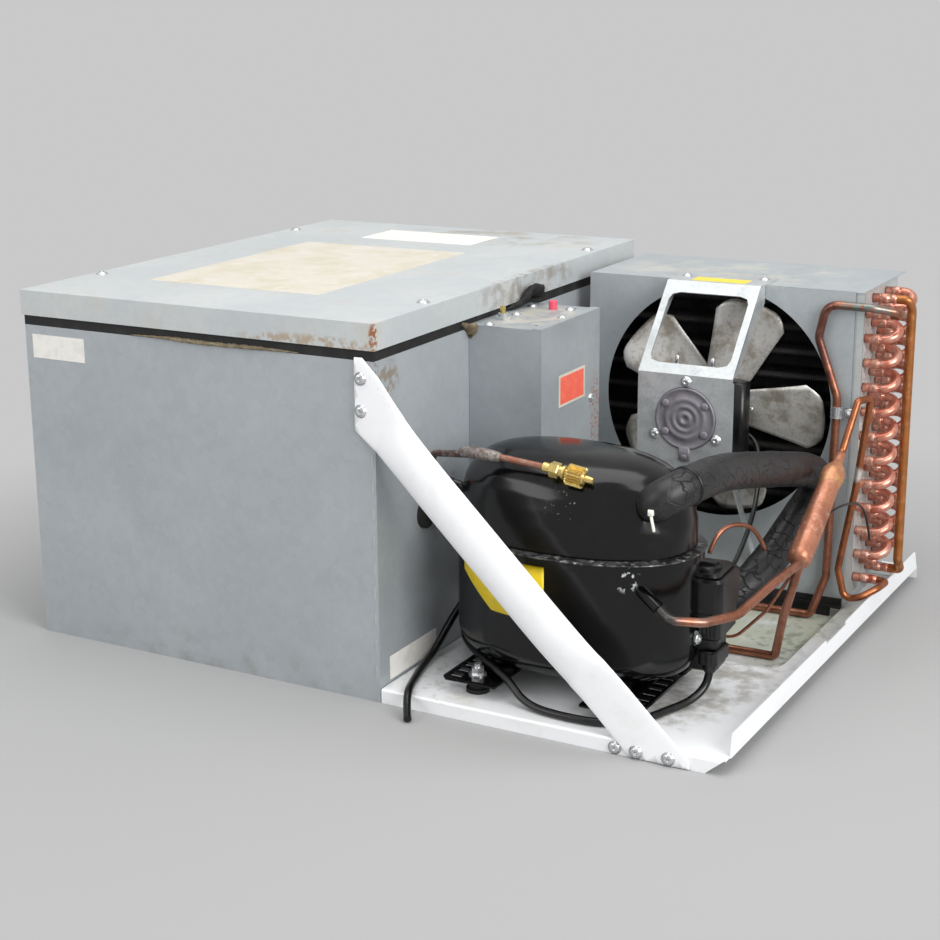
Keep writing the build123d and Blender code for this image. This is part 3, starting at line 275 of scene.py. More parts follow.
def new_tree(name, **inputs):
    """A tree with a geometry, a material and more inputs, and what they give."""
    tree = bpy.data.node_groups.new(name, "GeometryNodeTree")
    for socket, kind in {"Geometry": "Geometry", **inputs, "Finish": "Material"}.items():
        tree.interface.new_socket(socket, in_out="INPUT", socket_type=f"NodeSocket{kind}")
    tree.interface.new_socket("Geometry", in_out="OUTPUT", socket_type="NodeSocketGeometry")
    return tree, add(tree, "NodeGroupInput").outputs


def close_tree(tree, copies, material):
    """Ends a tree in real geometry with its material set."""
    real = add(tree, "GeometryNodeRealizeInstances", links={"Geometry": copies})
    done = add(tree, "GeometryNodeSetMaterial", links={"Geometry": real.outputs[0], "Material": material})
    add(tree, "NodeGroupOutput", links={"Geometry": done.outputs[0]})
    return tree


def row_tree():
    """Copies the geometry in a straight row of a stated count and step."""
    tree, given = new_tree("row_of_copies", Count="Int", Step="Vector")
    places = add(tree, "GeometryNodeMeshLine", links={"Count": given["Count"], "Offset": given["Step"]}, mode="OFFSET")
    copies = add(tree, "GeometryNodeInstanceOnPoints",
                 links={"Points": places.outputs[0], "Instance": given["Geometry"]})
    return close_tree(tree, copies.outputs[0], given["Finish"])


def places_tree():
    """Puts one shape on every point, its Z turned to the point's axis and spun by a seeded amount."""
    tree, given = new_tree("shape_on_places", Shape="Object", Seed="Int")
    axis = add(tree, "GeometryNodeInputNamedAttribute", {"Name": "axis"}, data_type="FLOAT_VECTOR")
    turned = add(tree, "FunctionNodeAlignRotationToVector", links={"Vector": axis.outputs["Attribute"]}, axis="Z")
    shape = add(tree, "GeometryNodeObjectInfo", links={"Object": given["Shape"]})
    copies = add(tree, "GeometryNodeInstanceOnPoints",
                 links={"Points": given["Geometry"], "Instance": shape.outputs["Geometry"],
                        "Rotation": turned.outputs[0]})
    spin = add(tree, "FunctionNodeRandomValue", {"Max": 6.2832}, {"Seed": given["Seed"]}, data_type="FLOAT")
    about = add(tree, "ShaderNodeCombineXYZ", links={"Z": spin.outputs["Value"]})
    spun = add(tree, "GeometryNodeRotateInstances", {"Local Space": True},
               {"Instances": copies.outputs[0], "Rotation": about.outputs[0]})
    return close_tree(tree, spun.outputs[0], given["Finish"])


ROW, PLACES = row_tree(), places_tree()


def run_tree(mesh, tree, **values):
    """Runs a tree on a mesh and gives the plain result."""
    holder = link_in(bpy.data.objects.new("holder", mesh))
    modifier = holder.modifiers.new("nodes", "NODES")
    modifier.node_group = tree
    sockets = {item.name: item.identifier for item in tree.interface.items_tree if item.in_out == "INPUT"}
    for name, value in values.items():
        modifier[sockets[name]] = value
    result = evaluated(holder)
    bpy.data.objects.remove(holder)
    return result


def in_row(bm, count, step_mm, finish):
    return run_tree(to_mesh(bm, "one"), ROW, Count=count, Step=[v * MM for v in step_mm], Finish=finish)


def on_places(bm, places, finish, seed=1):
    """Copies of a shape built round the origin; places are ((x, y, z), axis) in deck millimetres."""
    source = link_in(bpy.data.objects.new("shape", to_mesh(bm, "shape", placed=False)))
    points = bpy.data.meshes.new("places")
    points.from_pydata([at(*p) for p, _ in places], [], [])
    axis = points.attributes.new("axis", "FLOAT_VECTOR", "POINT")
    axis.data.foreach_set("vector", [v for _, a in places for v in a])
    result = run_tree(points, PLACES, Shape=source, Seed=seed, Finish=finish)
    bpy.data.objects.remove(source)
    return result


# ---------------------------------------------------------------- materials
def start(name, base, metallic=0.0, roughness=0.5, **sockets):
    """A new material with its shader and object coordinates."""
    material = bpy.data.materials.new(name)
    material.use_nodes = True
    tree = material.node_tree
    shader = next(n for n in tree.nodes if n.type == "BSDF_PRINCIPLED")
    shader.inputs["Base Color"].default_value = colour(base)
    shader.inputs["Metallic"].default_value = metallic
    shader.inputs["Roughness"].default_value = roughness
    for socket, value in sockets.items():
        shader.inputs[socket.replace("_", " ")].default_value = value
    return material, tree, shader, add(tree, "ShaderNodeTexCoord").outputs["Object"]


def finish(name, base, metallic=0.0, roughness=0.5, layers=(), relief=(3.0, 0.02), dulled=0.12, spangle=0.0,
           **sockets):
    """A finish of patches over a base colour with a fine relief.

    A layer is (colour, share, patch size in mm, noise where it starts, noise where it is full), then where it
    keeps to one place (centre, reach) in deck mm. The first layer also changes the roughness by `dulled`.
    Spangle is the share of zinc crystals 8 mm across; relief is (size, depth) in mm.
    """
    material, tree, shader, place = start(name, base, metallic, roughness, **sockets)
    tone, first = None, None
    for code, share, size, low, high, *where in layers:
        grain = add(tree, "ShaderNodeTexNoise", {"Scale": 1000 / size, "Detail": 4.0, "Roughness": 0.6},
                    {"Vector": place})
        level = add(tree, "ShaderNodeMapRange", {"From Min": low, "From Max": high, "To Max": share},
                    {"Value": grain.outputs["Fac"]}, interpolation_type="SMOOTHSTEP").outputs[0]
        if where:
            centre, reach = where
            local = add(tree, "ShaderNodeMapping",
                        {"Location": at(*centre), "Scale": [r * MM for r in reach]}, {"Vector": place},
                        vector_type="TEXTURE")
            fade = add(tree, "ShaderNodeTexGradient", links={"Vector": local.outputs[0]},
                       gradient_type="SPHERICAL")
            soft = add(tree, "ShaderNodeMapRange", {"From Max": 0.45}, {"Value": fade.outputs["Fac"]},
                       interpolation_type="SMOOTHSTEP")
            level = add(tree, "ShaderNodeMath", links={0: level, 1: soft.outputs[0]},
                        operation="MULTIPLY").outputs[0]
        under = {6: tone} if tone else {}
        mix = add(tree, "ShaderNodeMix", {7: colour(code)}, {0: level, **under}, data_type="RGBA")
        if not tone:
            mix.inputs[6].default_value = colour(base)
        tone, first = mix.outputs[2], first or level
    if spangle:
        crystals = add(tree, "ShaderNodeTexVoronoi", {"Scale": 1000 / 8.0}, {"Vector": place})
        grey = add(tree, "ShaderNodeRGBToBW", links={0: crystals.outputs["Color"]})
        shade = add(tree, "ShaderNodeMapRange", {"To Min": 1.0 - spangle, "To Max": 1.0 + spangle / 2},
                    {"Value": grey.outputs[0]})
        mix = add(tree, "ShaderNodeMix", {0: 1.0}, {6: tone, 7: shade.outputs[0]}, data_type="RGBA",
                  blend_type="MULTIPLY")
        tone = mix.outputs[2]
    if tone:
        tree.links.new(tone, shader.inputs["Base Color"])
        worn = add(tree, "ShaderNodeMapRange", {"To Min": roughness, "To Max": min(roughness + dulled, 1.0)},
                   {"Value": first})
        tree.links.new(worn.outputs[0], shader.inputs["Roughness"])
    size, depth = relief
    grain = add(tree, "ShaderNodeTexNoise", {"Scale": 1000 / size, "Detail": 3.0}, {"Vector": place})
    bump = add(tree, "ShaderNodeBump", {"Strength": 0.5, "Distance": depth * MM}, {"Height": grain.outputs["Fac"]})
    tree.links.new(bump.outputs["Normal"], shader.inputs["Normal"])
    return material


# Hot-dip galvanised sheet: soft zinc spangle, brushed dull by handling, greyer where hands and damp reached it.
ZINC_WEAR = [("#b3b9bc", 0.4, 90, 0.4, 0.66), ("#989da0", 0.25, 150, 0.5, 0.72), ("#8b9093", 0.12, 3, 0.4, 0.75)]
case_sheet = finish("galvanised_case_sheet", "#a9afb3", 0.3, 0.42, ZINC_WEAR + [
    ("#8c7a5c", 0.7, 9, 0.45, 0.6, (0, 22, 306), (20, 26, 22)),
    ("#7f6a4c", 0.6, 5, 0.5, 0.62, (-2, 0, 300), (14, 14, 60)),
    ("#8d8a80", 0.5, 26, 0.45, 0.7, (-180, 0, 0), (200, 20, 40)),
    ("#77756f", 0.7, 16, 0.4, 0.65, (0, 116, 168), (10, 46, 46))], spangle=0.05)
lid_sheet = finish("galvanised_lid_sheet", "#bfc4c6", 0.25, 0.45, [
    ("#cacdcb", 0.6, 120, 0.4, 0.66), ("#b9b5a9", 0.35, 60, 0.5, 0.74), ("#a9adaf", 0.12, 4, 0.45, 0.75),
    ("#9b8f7c", 0.6, 40, 0.42, 0.66, (-150, 520, 361), (150, 70, 30)),
    ("#8a7f70", 0.65, 14, 0.38, 0.66, (2, 300, 350), (14, 130, 22)),
    ("#9a5a24", 0.95, 4, 0.4, 0.52, (2, -2, 348), (7, 7, 17)),
    ("#a08152", 0.6, 8, 0.42, 0.6, (-60, 0, 338), (110, 8, 10))], spangle=0.04)
box_sheet = finish("galvanised_box_sheet", "#9ea4a8", 0.3, 0.4, ZINC_WEAR + [
    ("#c9c4b8", 0.85, 22, 0.36, 0.6, (40, 240, 331), (46, 76, 6)),
    ("#a25a2c", 0.8, 4, 0.5, 0.6, (78, 298, 222), (4, 16, 60))], spangle=0.05)
shroud_sheet = finish("galvanised_shroud_sheet", "#a9b0b3", 0.3, 0.42, ZINC_WEAR + [
    ("#ccc9be", 0.6, 40, 0.4, 0.7, (160, 480, 347), (170, 90, 8)),
    ("#e3cf7a", 0.5, 20, 0.4, 0.6, (170, 452, 347), (42, 20, 6))], spangle=0.05)
bracket_sheet = finish("galvanised_bracket_sheet", "#bcc0c1", 0.45, 0.36, [
    ("#cfd3d4", 0.6, 50, 0.4, 0.66), ("#94999b", 0.4, 24, 0.5, 0.72), ("#8d9294", 0.25, 3, 0.42, 0.75)], spangle=0.08)
end_sheet = finish("galvanised_end_sheet", "#b9bcba", 0.3, 0.45, ZINC_WEAR + [
    ("#e6e4df", 0.8, 5, 0.42, 0.6, (312, 470, 200), (8, 60, 180))], spangle=0.06)
# White stoved enamel on folded steel: smooth and glossy, dulled by brown water marks and grime on the floor.
pan_enamel = finish("white_stoved_enamel", "#eceef0", 0.0, 0.3, [
    ("#d9d6cf", 0.5, 50, 0.5, 0.72),
    ("#a29d93", 0.75, 24, 0.38, 0.64, (262, 150, 14), (64, 150, 10)),
    ("#9b9488", 0.5, 16, 0.45, 0.66, (262, 190, 14), (80, 120, 12)),
    ("#b9beaa", 0.9, 60, 0.2, 0.5, (250, 380, 6), (120, 185, 16)),
    ("#6c6e5f", 0.6, 14, 0.5, 0.64, (290, 330, 6), (60, 130, 14)),
    ("#c4bfb4", 0.6, 10, 0.5, 0.66, (40, 60, 14), (70, 90, 8))], relief=(2.5, 0.02))
brace_enamel = finish("white_stoved_enamel_on_tube", "#f0f1f3", 0.0, 0.28, [
    ("#dddcd9", 0.35, 30, 0.5, 0.75), ("#b9b4aa", 0.6, 5, 0.6, 0.72, (10, -3, 300), (30, 12, 24))],
    relief=(2.5, 0.015))
# Black stoved paint on the drawn steel shell: glossy, with a light orange peel, settled dust and a few scuffs.
shell_paint = finish("black_stoved_shell_paint", "#050506", 0.0, 0.17, [
    ("#1d1c1b", 0.3, 24, 0.52, 0.8), ("#35322f", 0.3, 60, 0.45, 0.75, (150, 105, 243), (90, 60, 26)),
    ("#c8cdcd", 0.95, 9, 0.56, 0.6, (228, 44, 147), (12, 20, 17)),
    ("#8d8378", 0.8, 3, 0.64, 0.7, (166, 40, 206), (24, 30, 18))], relief=(5.0, 0.05), dulled=0.25,
    Specular_IOR_Level=0.4)
# Drawn copper tube: pinkish metal with browner tarnish in patches along it, grey-green at brazed joints.
TARNISH = [("#7a4a33", 0.75, 16, 0.42, 0.68), ("#4e3124", 0.35, 3, 0.45, 0.72)]
bend_copper = finish("annealed_return_bend_copper", "#d49480", 0.7, 0.26, [
    ("#b5573f", 0.7, 14, 0.4, 0.66), ("#e0b3a0", 0.6, 9, 0.48, 0.68), ("#7a4030", 0.35, 3, 0.45, 0.72)])
pale_copper = finish("brazed_copper_sleeve", "#c98c76", 0.6, 0.36, [
    ("#e3cdc2", 0.6, 5, 0.46, 0.64), ("#9b5b46", 0.6, 7, 0.45, 0.66)])
line_copper = finish("tarnished_line_copper", "#a06a54", 0.75, 0.3, TARNISH + [
    ("#77807c", 0.95, 6, 0.34, 0.5, (322, 408, 326), (34, 24, 24)),
    ("#4a4d4d", 0.95, 8, 0.25, 0.45, (266, 42, 118), (24, 30, 20)),
    ("#8f8a86", 0.7, 5, 0.4, 0.58, (288, 60, 113), (22, 24, 16)),
    ("#5b3a36", 0.8, 10, 0.3, 0.5, (282, 404, 300), (16, 16, 70))])
header_copper = finish("tarnished_header_copper", "#b4713f", 0.75, 0.3, [
    ("#8a5a30", 0.7, 20, 0.4, 0.66), ("#d1976a", 0.5, 9, 0.5, 0.7)])
riser_copper = finish("tarnished_liquid_line_copper", "#a3623f", 0.8, 0.3, TARNISH + [
    ("#e3dfd8", 0.95, 6, 0.2, 0.3, (322, 400, 165), (9, 9, 11))])
drier_copper = finish("spun_drier_copper", "#b67a5e", 0.6, 0.38, [
    ("#8d5745", 0.6, 18, 0.42, 0.66), ("#c9a05e", 0.7, 9, 0.42, 0.6, (320, 330, 178), (20, 26, 30)),
    ("#d8a694", 0.5, 8, 0.5, 0.68), ("#5d3d33", 0.3, 3, 0.45, 0.7)])
grey_tube = finish("sooted_process_tube", "#8c5a48", 0.75, 0.35, [
    ("#4d4644", 0.9, 12, 0.3, 0.5, (46, 46, 230), (46, 40, 30)), ("#8d8078", 0.6, 4, 0.45, 0.6)])
# Brazed sleeve: grey soot over dull copper.
sooted_braze = finish("sooted_braze_metal", "#6f6865", 0.5, 0.45, [
    ("#a79f9a", 0.7, 4, 0.42, 0.6), ("#5a3a32", 0.6, 5, 0.48, 0.66)])


def opened(material):
    """A finish's tree, shader, colour so far and object coordinates, to build on."""
    tree = material.node_tree
    shader = next(n for n in tree.nodes if n.type == "BSDF_PRINCIPLED")
    tone = shader.inputs["Base Color"].links[0].from_socket
    return tree, shader, tone, add(tree, "ShaderNodeTexCoord").outputs["Object"]


def crazed_foam():
    """Closed-cell elastomer pipe foam: soft satin skin, crazed with age into cells about 14 mm wide, the cracks
    darkened with painted shade.
    """
    material = finish("elastomer_pipe_foam", "#141416", 0.0, 0.42, [
        ("#29292c", 0.6, 14, 0.42, 0.68), ("#3a3a3c", 0.3, 2.5, 0.55, 0.72)], relief=(1.6, 0.15))
    tree, shader, tone, place = opened(material)
    skin_normal = shader.inputs["Normal"].links[0].from_socket
    bend = add(tree, "ShaderNodeTexNoise", {"Scale": 1000 / 9, "Detail": 3.0}, {"Vector": place})
    pulled = add(tree, "ShaderNodeVectorMath", {1: (0.012, 0.012, 0.012), 2: (0, 0, 0)},
                 {0: bend.outputs["Color"], 2: place}, operation="MULTIPLY_ADD")
    cells = add(tree, "ShaderNodeTexVoronoi", {"Scale": 1000 / 14}, {"Vector": pulled.outputs[0]},
                feature="DISTANCE_TO_EDGE")
    line = add(tree, "ShaderNodeMapRange", {"From Max": 0.05, "To Min": 1.0, "To Max": 0.0},
               {"Value": cells.outputs["Distance"]})
    parts = add(tree, "ShaderNodeTexNoise", {"Scale": 1000 / 45, "Detail": 2.0}, {"Vector": place})
    some = add(tree, "ShaderNodeMapRange", {"From Min": 0.42, "From Max": 0.55}, {"Value": parts.outputs["Fac"]})
    crack = add(tree, "ShaderNodeMath", links={0: line.outputs[0], 1: some.outputs[0]}, operation="MULTIPLY")
    # painted shade: the open cracks are darkened to near black, as the shade inside them looks
    mix = add(tree, "ShaderNodeMix", {7: colour("#030303")}, {0: crack.outputs[0], 6: tone}, data_type="RGBA")
    tree.links.new(mix.outputs[2], shader.inputs["Base Color"])
    open_line = add(tree, "ShaderNodeMath", {0: 1.0}, {1: crack.outputs[0]}, operation="SUBTRACT")
    bump = add(tree, "ShaderNodeBump", {"Strength": 1.0, "Distance": 1.2 * MM},
               {"Height": open_line.outputs[0], "Normal": skin_normal})
    tree.links.new(bump.outputs["Normal"], shader.inputs["Normal"])
    return material


MATERIALS = {
    "galvanised_steel": case_sheet,
    "white_enamel": pan_enamel,
    "black_shell": shell_paint,
    "copper": line_copper,
    # Black-coated plate fins, greyed by dust.
    "aluminium_fin": finish("black_coated_fin_stock", "#141415", 0.3, 0.42, [("#33312f", 0.5, 12, 0.42, 0.7)]),
    # Pressed aluminium, brown with dust on the blades' faces.
    "aluminium_blade": finish("dusty_pressed_aluminium", "#d3d1cc", 0.55, 0.38, [
        ("#8f8474", 0.75, 26, 0.42, 0.62), ("#e2e1dd", 0.5, 14, 0.5, 0.68), ("#5f574c", 0.35, 3, 0.5, 0.72)]),
    # Moulded rubber, matt with a grey bloom.
    "black_rubber": finish("moulded_rubber", "#121212", 0.0, 0.7, [("#2f2e2c", 0.5, 18, 0.42, 0.7)]),
    "pipe_foam": crazed_foam(),
    # Rigid foam board, yellowed.
    "insulation_foam": finish("rigid_foam_board", "#d8cda6", 0.0, 0.9, [("#b59a6a", 0.5, 20, 0.42, 0.7)],
                              relief=(1.2, 0.3)),
    # Injection-moulded thermoplastic, satin.
    "black_plastic": finish("moulded_black_thermoplastic", "#0c0c0d", 0.0, 0.3, [("#242322", 0.5, 14, 0.45, 0.7)],
                            relief=(0.9, 0.02)),
    # Die-cast motor cup under grey paint, dusty.
    "motor_grey": finish("grey_painted_die_casting", "#858289", 0.25, 0.45, [
        ("#6a676b", 0.6, 12, 0.42, 0.68), ("#9d9aa0", 0.4, 3, 0.5, 0.7)], relief=(1.2, 0.03)),
    # Bright zinc plate on screws and studs.
    "zinc_screw": finish("bright_zinc_plate", "#d2d4d6", 0.8, 0.25, [("#8f8f8d", 0.5, 3, 0.45, 0.7)], relief=(1, 0.01)),
    # Turned brass, slightly dulled.
    "brass": finish("turned_brass", "#d9c07a", 0.85, 0.24, [("#a3824a", 0.5, 5, 0.45, 0.7)], relief=(1, 0.01)),
    # Moulded red phenolic cap.
    "red_plastic": finish("moulded_red_phenolic", "#e0506a", 0.0, 0.38, [("#c23a4e", 0.5, 4, 0.42, 0.7)]),
    # Yellow film label, worn.
    "label_yellow": finish("yellow_film_label", "#f2d424", 0.0, 0.32, [("#dcbf2c", 0.4, 10, 0.45, 0.7)]),
    # Natural nylon.
    "nylon_white": finish("natural_nylon", "#e8e6dc", 0.0, 0.4, [("#cfcabb", 0.5, 4, 0.42, 0.7)]),
    # Flexible PVC sheath, glossy with scuffs.
    "cable_black": finish("flexible_pvc_sheath", "#0a0a0b", 0.0, 0.28, [("#232322", 0.5, 9, 0.45, 0.7)]),
}
# Film plates and labels: flat satin colour, yellowed or rubbed in patches.
cream_film = finish("cream_film_plate", "#cdc8bb", 0.0, 0.5, [
    ("#bdb297", 0.5, 60, 0.42, 0.66), ("#d3d1c9", 0.6, 26, 0.5, 0.7), ("#9a927f", 0.2, 3, 0.55, 0.72)])
white_film = finish("white_film_label", "#e8e6e0", 0.0, 0.45, [("#cfccc3", 0.5, 12, 0.45, 0.7)])
red_film = finish("red_film_label", "#e8624c", 0.0, 0.4, [("#f08a74", 0.5, 9, 0.45, 0.7)])
cyan_film = finish("cyan_film_stripe", "#58b9b3", 0.0, 0.35, [("#7fcfc6", 0.5, 9, 0.45, 0.7)])
# Torn strip of open-cell foam, gone brown.
brown_foam = finish("aged_open_cell_foam", "#6f6350", 0.0, 0.95, [
    ("#8f8468", 0.8, 6, 0.42, 0.6), ("#4b4236", 0.6, 3, 0.45, 0.6)], relief=(1.5, 0.8))
# Weld flange: black paint scraped to bright steel along its edge.
weld_steel = finish("scratched_weld_edge", "#5a5a5a", 0.6, 0.35, [("#16161a", 0.9, 9, 0.42, 0.56),
                                                                   ("#c9c9c6", 0.6, 5, 0.55, 0.66)])
SPECIAL = {
    "case_lid": lid_sheet, "control_box": box_sheet, "control_box_cover": box_sheet, "fan_shroud": shroud_sheet,
    "condenser_end_plates": end_sheet, "brace_tube": brace_enamel, "condenser_header": header_copper,
    "thermostat_body": box_sheet, "liquid_tube": riser_copper, "process_tube": grey_tube,
    "evaporator_fins": finish("bare_fin_stock", "#b7babb", 0.8, 0.4, [("#8d9091", 0.5, 14, 0.42, 0.7)]),
}


def finish_nodes():
    slots = {row["node"]: row["material_slot"] for row in frame["record"]["subparts"]}
    for name, obj in nodes.items():
        material = SPECIAL.get(name) or MATERIALS[slots[name]]
        for place in obj.material_slots:
            place.material = material


finish_nodes()


# ---------------------------------------------------------------- leads
SUPPLY_PATH = [
    (28, 194, 152.5), (27.5, 191, 120), (19, 160, 80), (8, 124, 46), (6.5, 90, 22), (12, 56, 17.95),
    (22, 24, 18.35), (31, -2, 19.15), (38, -16, 9.5), (47, -30, 4.2)]
LEAD_PATH = [
    (280, 116, 48), (280, 115.6, 33), (271, 97, 20), (257, 68, 17.95), (247, 39, 17.95), (221, 16.5, 17.95),
    (180, 14, 17.95), (142, 20, 18.95), (118, 31, 35), (96, 46, 38), (74, 66, 36), (50, 88, 34), (24, 116, 36),
    (16, 146, 54), (22, 180, 84), (44, 196, 112), (48, 200, 152.5)]
FAN_LEAD_PATH = [
    (-24, 87, 163), (14, 87, 163), (22, 110, 155), (30, 138, 142), (44, 164, 128), (62, 186, 126),
    (66, 192, 152.5)]
MOTOR_LEAD_PATH = [
    (206, 366, 204), (224, 366, 203), (240, 346, 182), (252, 304, 150), (262, 250, 130), (262, 216, 110),
    (262, 205, 110)]
LEAD_R, THIN_LEAD_R, LEAD_STEPS = 3.75, 2.4, 16


def add_leads():
    for name, points, radius, far_end, stiffness in (
            ("supply_lead", SUPPLY_PATH, LEAD_R, "bare", "medium"),
            ("compressor_lead", LEAD_PATH, LEAD_R, "object", "medium"),
            ("evaporator_fan_lead", FAN_LEAD_PATH, LEAD_R, "object", "medium"),
            ("condenser_fan_lead", MOTOR_LEAD_PATH, THIN_LEAD_R, "object", "limp")):
        route = [at(*point) for point in points]
        length = length_of(line_of(route_curve("measure", route, LEAD_STEPS)))
        data = route_curve(f"{name}_sheath", route, LEAD_STEPS)
        data.bevel_depth, data.bevel_resolution, data.use_fill_caps = radius * MM, 6, True
        data.materials.append(MATERIALS["cable_black"])
        lead = link_in(bpy.data.objects.new(f"{name}_sheath", data))
        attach(lead, "chassis")
        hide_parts(name)


add_leads()


# ---------------------------------------------------------------- coil
COIL_Y, COIL_Z, TUBE_PITCH, ROW_PITCH, TUBE_R = 441.0, 42.0, 25.4, 22.0, 4.76
BEND_X, SHROUD_X0, SHROUD_X1, SHROUD_Y = 330.0, 19.5, 309.0, 413.0
FIN_X0, FIN_X1, FIN_COUNT, FIN_THICK = 26.0, 307.0, 141, 0.3
FIN_FRONT, FIN_BACK, RIPPLE_STEPS = 430.0, 518.0, 74
FAN_X, FAN_Z = 165.0, 217.0
TUBE_SHEETS = 22.5, 310.5                                              # outer faces of the two tube sheets
FREE_ENDS = (441, 42), (441, 321.4), (463, 334.1), (485, 42)           # tubes that lines join, as (y, z)


def add_fins():
    """One plate fin with a rippled front edge, copied along the coil."""
    bm = bmesh.new()
    low, high = (corner.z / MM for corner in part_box("condenser_fins"))
    heights = [low + (high - low) * i / RIPPLE_STEPS for i in range(RIPPLE_STEPS + 1)]
    outline = [(FIN_FRONT + 0.9 * cos(2 * pi * (z - COIL_Z) / (TUBE_PITCH / 2)), z) for z in heights]
    outline += [(FIN_BACK, high), (FIN_BACK, low)]
    skin(bm, [[bm.verts.new((x, y, z)) for y, z in outline] for x in (FIN_X0, FIN_X0 + FIN_THICK)])
    step = (FIN_X1 - FIN_X0) / (FIN_COUNT - 1)
    finished = in_row(bm, FIN_COUNT, (step, 0, 0), MATERIALS["aluminium_fin"])
    piece("coil_fins", finished, fin_stock, slot="aluminium_fin", replaces=["condenser_fins"], smooth=False)


def fin_finish():
    """Black-coated fin stock with a paler band level with each tube, a painted highlight for the sheen off the fin
    collars.
    """
    material = finish("black_coated_plate_fins", "#111112", 0.35, 0.38, [("#2b2927", 0.5, 12, 0.42, 0.7)])
    tree, shader, tone, place = opened(material)
    # painted highlight: paler bands at the tubes' heights stand for light caught by the fin collars
    shifted = add(tree, "ShaderNodeMapping", {"Location": (0, 0, -COIL_Z * MM)}, {"Vector": place})
    turns = 1000 / TUBE_PITCH / 20 * 2 * pi      # the wave texture has 20 units to a radian
    bands = add(tree, "ShaderNodeTexWave", {"Scale": turns, "Phase Offset": pi / 2}, {"Vector": shifted.outputs[0]},
                bands_direction="Z")
    level = add(tree, "ShaderNodeMapRange", {"From Min": 0.78, "From Max": 1.0, "To Max": 0.75},
                {"Value": bands.outputs["Fac"]})
    mix = add(tree, "ShaderNodeMix", {7: colour("#6d6b68")}, {0: level.outputs[0], 6: tone}, data_type="RGBA")
    tree.links.new(mix.outputs[2], shader.inputs["Base Color"])
    return material


fin_stock = fin_finish()


def tube_places():
    return [(COIL_Y + row * ROW_PITCH, COIL_Z + i * TUBE_PITCH + (row % 2) * TUBE_PITCH / 2)
            for row in range(4) for i in range(12)]


def add_coil_tubes():
    """Black-coated runs inside the fins and bare copper ends outside the tube sheets."""
    for name, x0, x1, material, slot in (
            ("coil_tube_runs", *TUBE_SHEETS, MATERIALS["aluminium_fin"], "aluminium_fin"),
            ("coil_tube_ends", TUBE_SHEETS[1], BEND_X, bend_copper, "copper"),
            ("coil_far_ends", TUBE_SHEETS[0] - 9, TUBE_SHEETS[0], bend_copper, "copper")):
        bm = bmesh.new()
        lathe(bm, (0, 0, 0), UP, [(TUBE_R, 0), (TUBE_R, x1 - x0)], 16)
        places = [((x0, y, z), RIGHT) for y, z in tube_places()]
        piece(name, on_places(bm, places, material), material, slot=slot,
              replaces=["condenser_tubes"] if name == "coil_tube_runs" else [])
    bm = bmesh.new()
    for y, z in FREE_ENDS:
        lathe(bm, (BEND_X - 1, y, z), RIGHT, [(0, 0), (TUBE_R, 0), (TUBE_R, 8.5), (0, 8.5)], 16)
    piece("coil_free_ends", bm, bend_copper, slot="copper")
    bm = bmesh.new()
    lathe(bm, (0, 0, 0), UP, [(TUBE_R + 0.1, 0), (5.3, 1), (5.4, 4), (5.2, 6), (TUBE_R + 0.1, 7)], 16)
    places = [((BEND_X - 9.5, y, z), RIGHT) for y, z in tube_places()]
    piece("brazed_cups", on_places(bm, places, pale_copper, 4), pale_copper, slot="copper")


def add_bends():
    """Half-round return bends, one column to each pair of rows."""
    parts = []
    for row, first, count in ((0, 1, 10), (2, 1, 11)):
        y, z = COIL_Y + row * ROW_PITCH, COIL_Z + first * TUBE_PITCH
        reach = hypot(ROW_PITCH, TUBE_PITCH / 2) / 2
        middle = Vector((BEND_X, y + ROW_PITCH / 2, z + TUBE_PITCH / 4))
        side = Vector((0, ROW_PITCH, TUBE_PITCH / 2)).normalized()
        line = [Vector((BEND_X - 4, y, z))]
        line += [middle - side * reach * cos(pi * i / 16) + RIGHT * reach * sin(pi * i / 16) for i in range(17)]
        line.append(Vector((BEND_X - 4, y + ROW_PITCH, z + TUBE_PITCH / 2)))
        bm = bmesh.new()
        tube(bm, line, lambda share: TUBE_R * (1.0 + 0.03 * sin(pi * share)), 16)
        parts.append(in_row(bm, count, (0, 0, TUBE_PITCH), bend_copper))
    bm = bmesh.new()
    for mesh in parts:
        bm.from_mesh(mesh)
    mesh = bpy.data.meshes.new("bends")
    bm.to_mesh(mesh)
    bm.free()
    piece("return_bends", mesh, bend_copper, slot="copper", replaces=["condenser_bends"])


add_fins()
add_coil_tubes()
add_bends()


# ---------------------------------------------------------------- shroud, bracket, motor and fan
OPENING_X, OPENING_Z, OPENING_R = 165.5, 220.5, 123.7
SHROUD_TOP, SHROUD_LOW, SHROUD_BACK, SHEET, SHEET_T = 347.0, 25.0, 560.0, 1.0, 1.5   # last: the bracket's sheet
BRACKET_X, BRACKET_Y, BRACKET_W, FOLD_Z, BRACKET_LOW = 164.8, 326.0, 101.0, 266.0, 158.5
BRACKET_OUT = 14.0        # from the shroud out to the fold at the top of the slope
MOTOR_X, MOTOR_Z = 166.5, 221.0


def plate_with_hole(bm, corners, hole, origin, across, up, thick):
    """Flat plate between an outer ring and a hole ring of equal counts, thickened along the normal."""
    normal = across.cross(up).normalized() * thick
    rings = []
    for points, shift in ((corners, 0), (hole, 0), (hole, 1), (corners, 1)):
        rings.append([bm.verts.new(origin + across * x + up * z + normal * shift) for x, z in points])
    skin(bm, rings + rings[:1], False, False)


